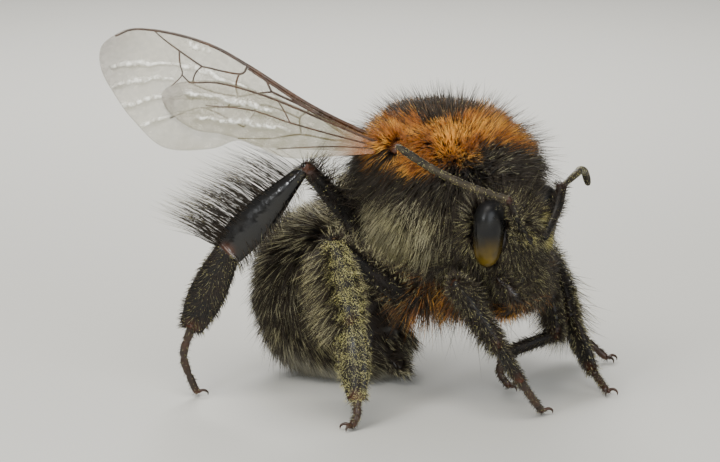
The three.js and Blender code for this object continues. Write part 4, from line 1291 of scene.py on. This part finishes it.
# %% Film and tubes
def wing_film(shape, place, out, folds):
    """Points and faces of the film, and for each point its share along the wing and its pleat, which the
    finish paints as glare.
    """
    outline = through(shape["leading"] + shape["trailing"][::-1][1:], np.linspace(0, 1, 900))
    tip = int(outline[:, 0].argmax())
    leading, trailing = outline[:tip + 1], outline[tip:][::-1]
    length = outline[tip, 0]
    x = length * (1 - (1 - np.linspace(0, 1, int(12 * length))) ** 1.9) * 0.9999
    low = np.interp(x, leading[:, 0], leading[:, 1])
    high = np.interp(x, trailing[:, 0], trailing[:, 1])
    y = low[:, None] + (high - low)[:, None] * np.linspace(0, 1, int(16 * (high - low).max()))
    x = np.broadcast_to(x[:, None], y.shape)
    z = wing_height(x, y, folds) * out
    front, rear = (on_wing(place, x, y, z + half) for half in (0.012, -0.012))
    shares = [np.concatenate([grid, grid[:, ::-1]], 1).ravel() for grid in (x / length, pleat(x, y, folds))]
    ring = np.concatenate([front, rear[:, ::-1]], 1)
    return loft(ring), np.append(shares[0], [0, 1]), np.append(shares[1], [0, 0])


def wing_tubes(veins, place, out, folds):
    shapes = []
    for line, thick_root, thick_end in veins:
        x, y = through(line, np.linspace(0, 1, 40)).T
        path = on_wing(place, x, y, wing_height(x, y, folds) * out)
        girth = vec(thick_root, thick_end)
        shapes.append(limb_rings(path, girth, girth * 0.8, place[3], 40, 10))
    return shapes


def film_finish():
    finish = Finish("wing_film", specular_ior_level=0.9, ior=1.56)
    blend, ranged, maths = finish.blend, finish.ranged, finish.maths
    along = finish.kept("along")
    base, margin = ranged(along, 0.26, 0.02), ranged(along, 0.82, 1.0)
    tint = blend(finish.noise(1.6), (0.20, 0.17, 0.07), (0.27, 0.25, 0.14))
    tint = blend(margin, blend(base, tint, (0.30, 0.10, 0.018)), (0.10, 0.08, 0.045))
    # painted glare: along the pleats' crests the film turns whitish and more opaque, in blotches
    glare_blotch = ranged(finish.noise(0.16, 5.0), 0.32, 0.66, 0.15, 1.0)
    crest = maths("MULTIPLY", ranged(finish.kept("crest"), 0.15, 1.0), glare_blotch)
    finish.put("Base Color", blend(crest, tint, (0.86, 0.86, 0.8)))
    alpha = ranged(finish.noise(0.9), 0.2, 0.8, 0.27, 0.37)
    # the crests' extra opacity is part of the painted glare; margin and base are the film's own tint
    for share, more in ((margin, 0.2), (crest, 0.7), (base, 0.35)):
        alpha = maths("ADD", alpha, maths("MULTIPLY", share, more))
    finish.put("Alpha", alpha)
    finish.put("Roughness", ranged(finish.noise(0.2), 0.3, 0.7, 0.14, 0.32))
    finish.rough_up(finish.noise(0.25, 4.0), 0.006, 0.3)
    return finish.material


FILM = film_finish()
VEIN_SHELL = shell_finish("vein_brown", (0.028, 0.012, 0.006), (0.075, 0.03, 0.011), 0.2, 0.38)
print("film and vein finishes ready")

# %% The four wings
for side, out in SIDES.items():
    fore = ("forewing", FOREWING, FORE_VEINS, FORE_FOLDS, wing_frame(side))
    hind = ("hindwing", HINDWING, HIND_VEINS, HIND_FOLDS, wing_frame(side, 0.55, 0.12, -out * 0.3))
    for kind, shape, veins, folds, place in (fore, hind):
        (points, faces), along, crest = wing_film(shape, place, -out, folds)
        # painted glare, stronger on the right wings than on the left
        crest = crest * (1.0 if side == "right" else 0.4)
        new_piece(f"{kind}_{side}_film", points, faces, "wing", FILM, [f"{kind}_{side}"],
                  along=along, crest=crest)
        shell_piece(f"{kind}_{side}_veins", "wing", wing_tubes(veins, place, -out, folds), VEIN_SHELL)
print("wings made")

# %% [markdown]
# A small rounded shell, the tegula, covers each wing's hinge like an epaulette.

# %% Wing-root shells
for side, out in SIDES.items():
    line = [vec(0.15, out * 2.38, 8.68), vec(-0.08, out * 2.5, 8.78), vec(-0.32, out * 2.5, 8.8)]
    cap = limb_rings(line, (0.15, 0.22, 0.16), (0.1, 0.14, 0.1), unit(vec(0, out, 0.7)))
    shell_piece(f"wing_cap_{side}", "brown_shell", [cap], JAW_SHELL, [f"tegula_{side}"],
                lambda points: np.full(len(points), 0.6))
print("wing caps made")
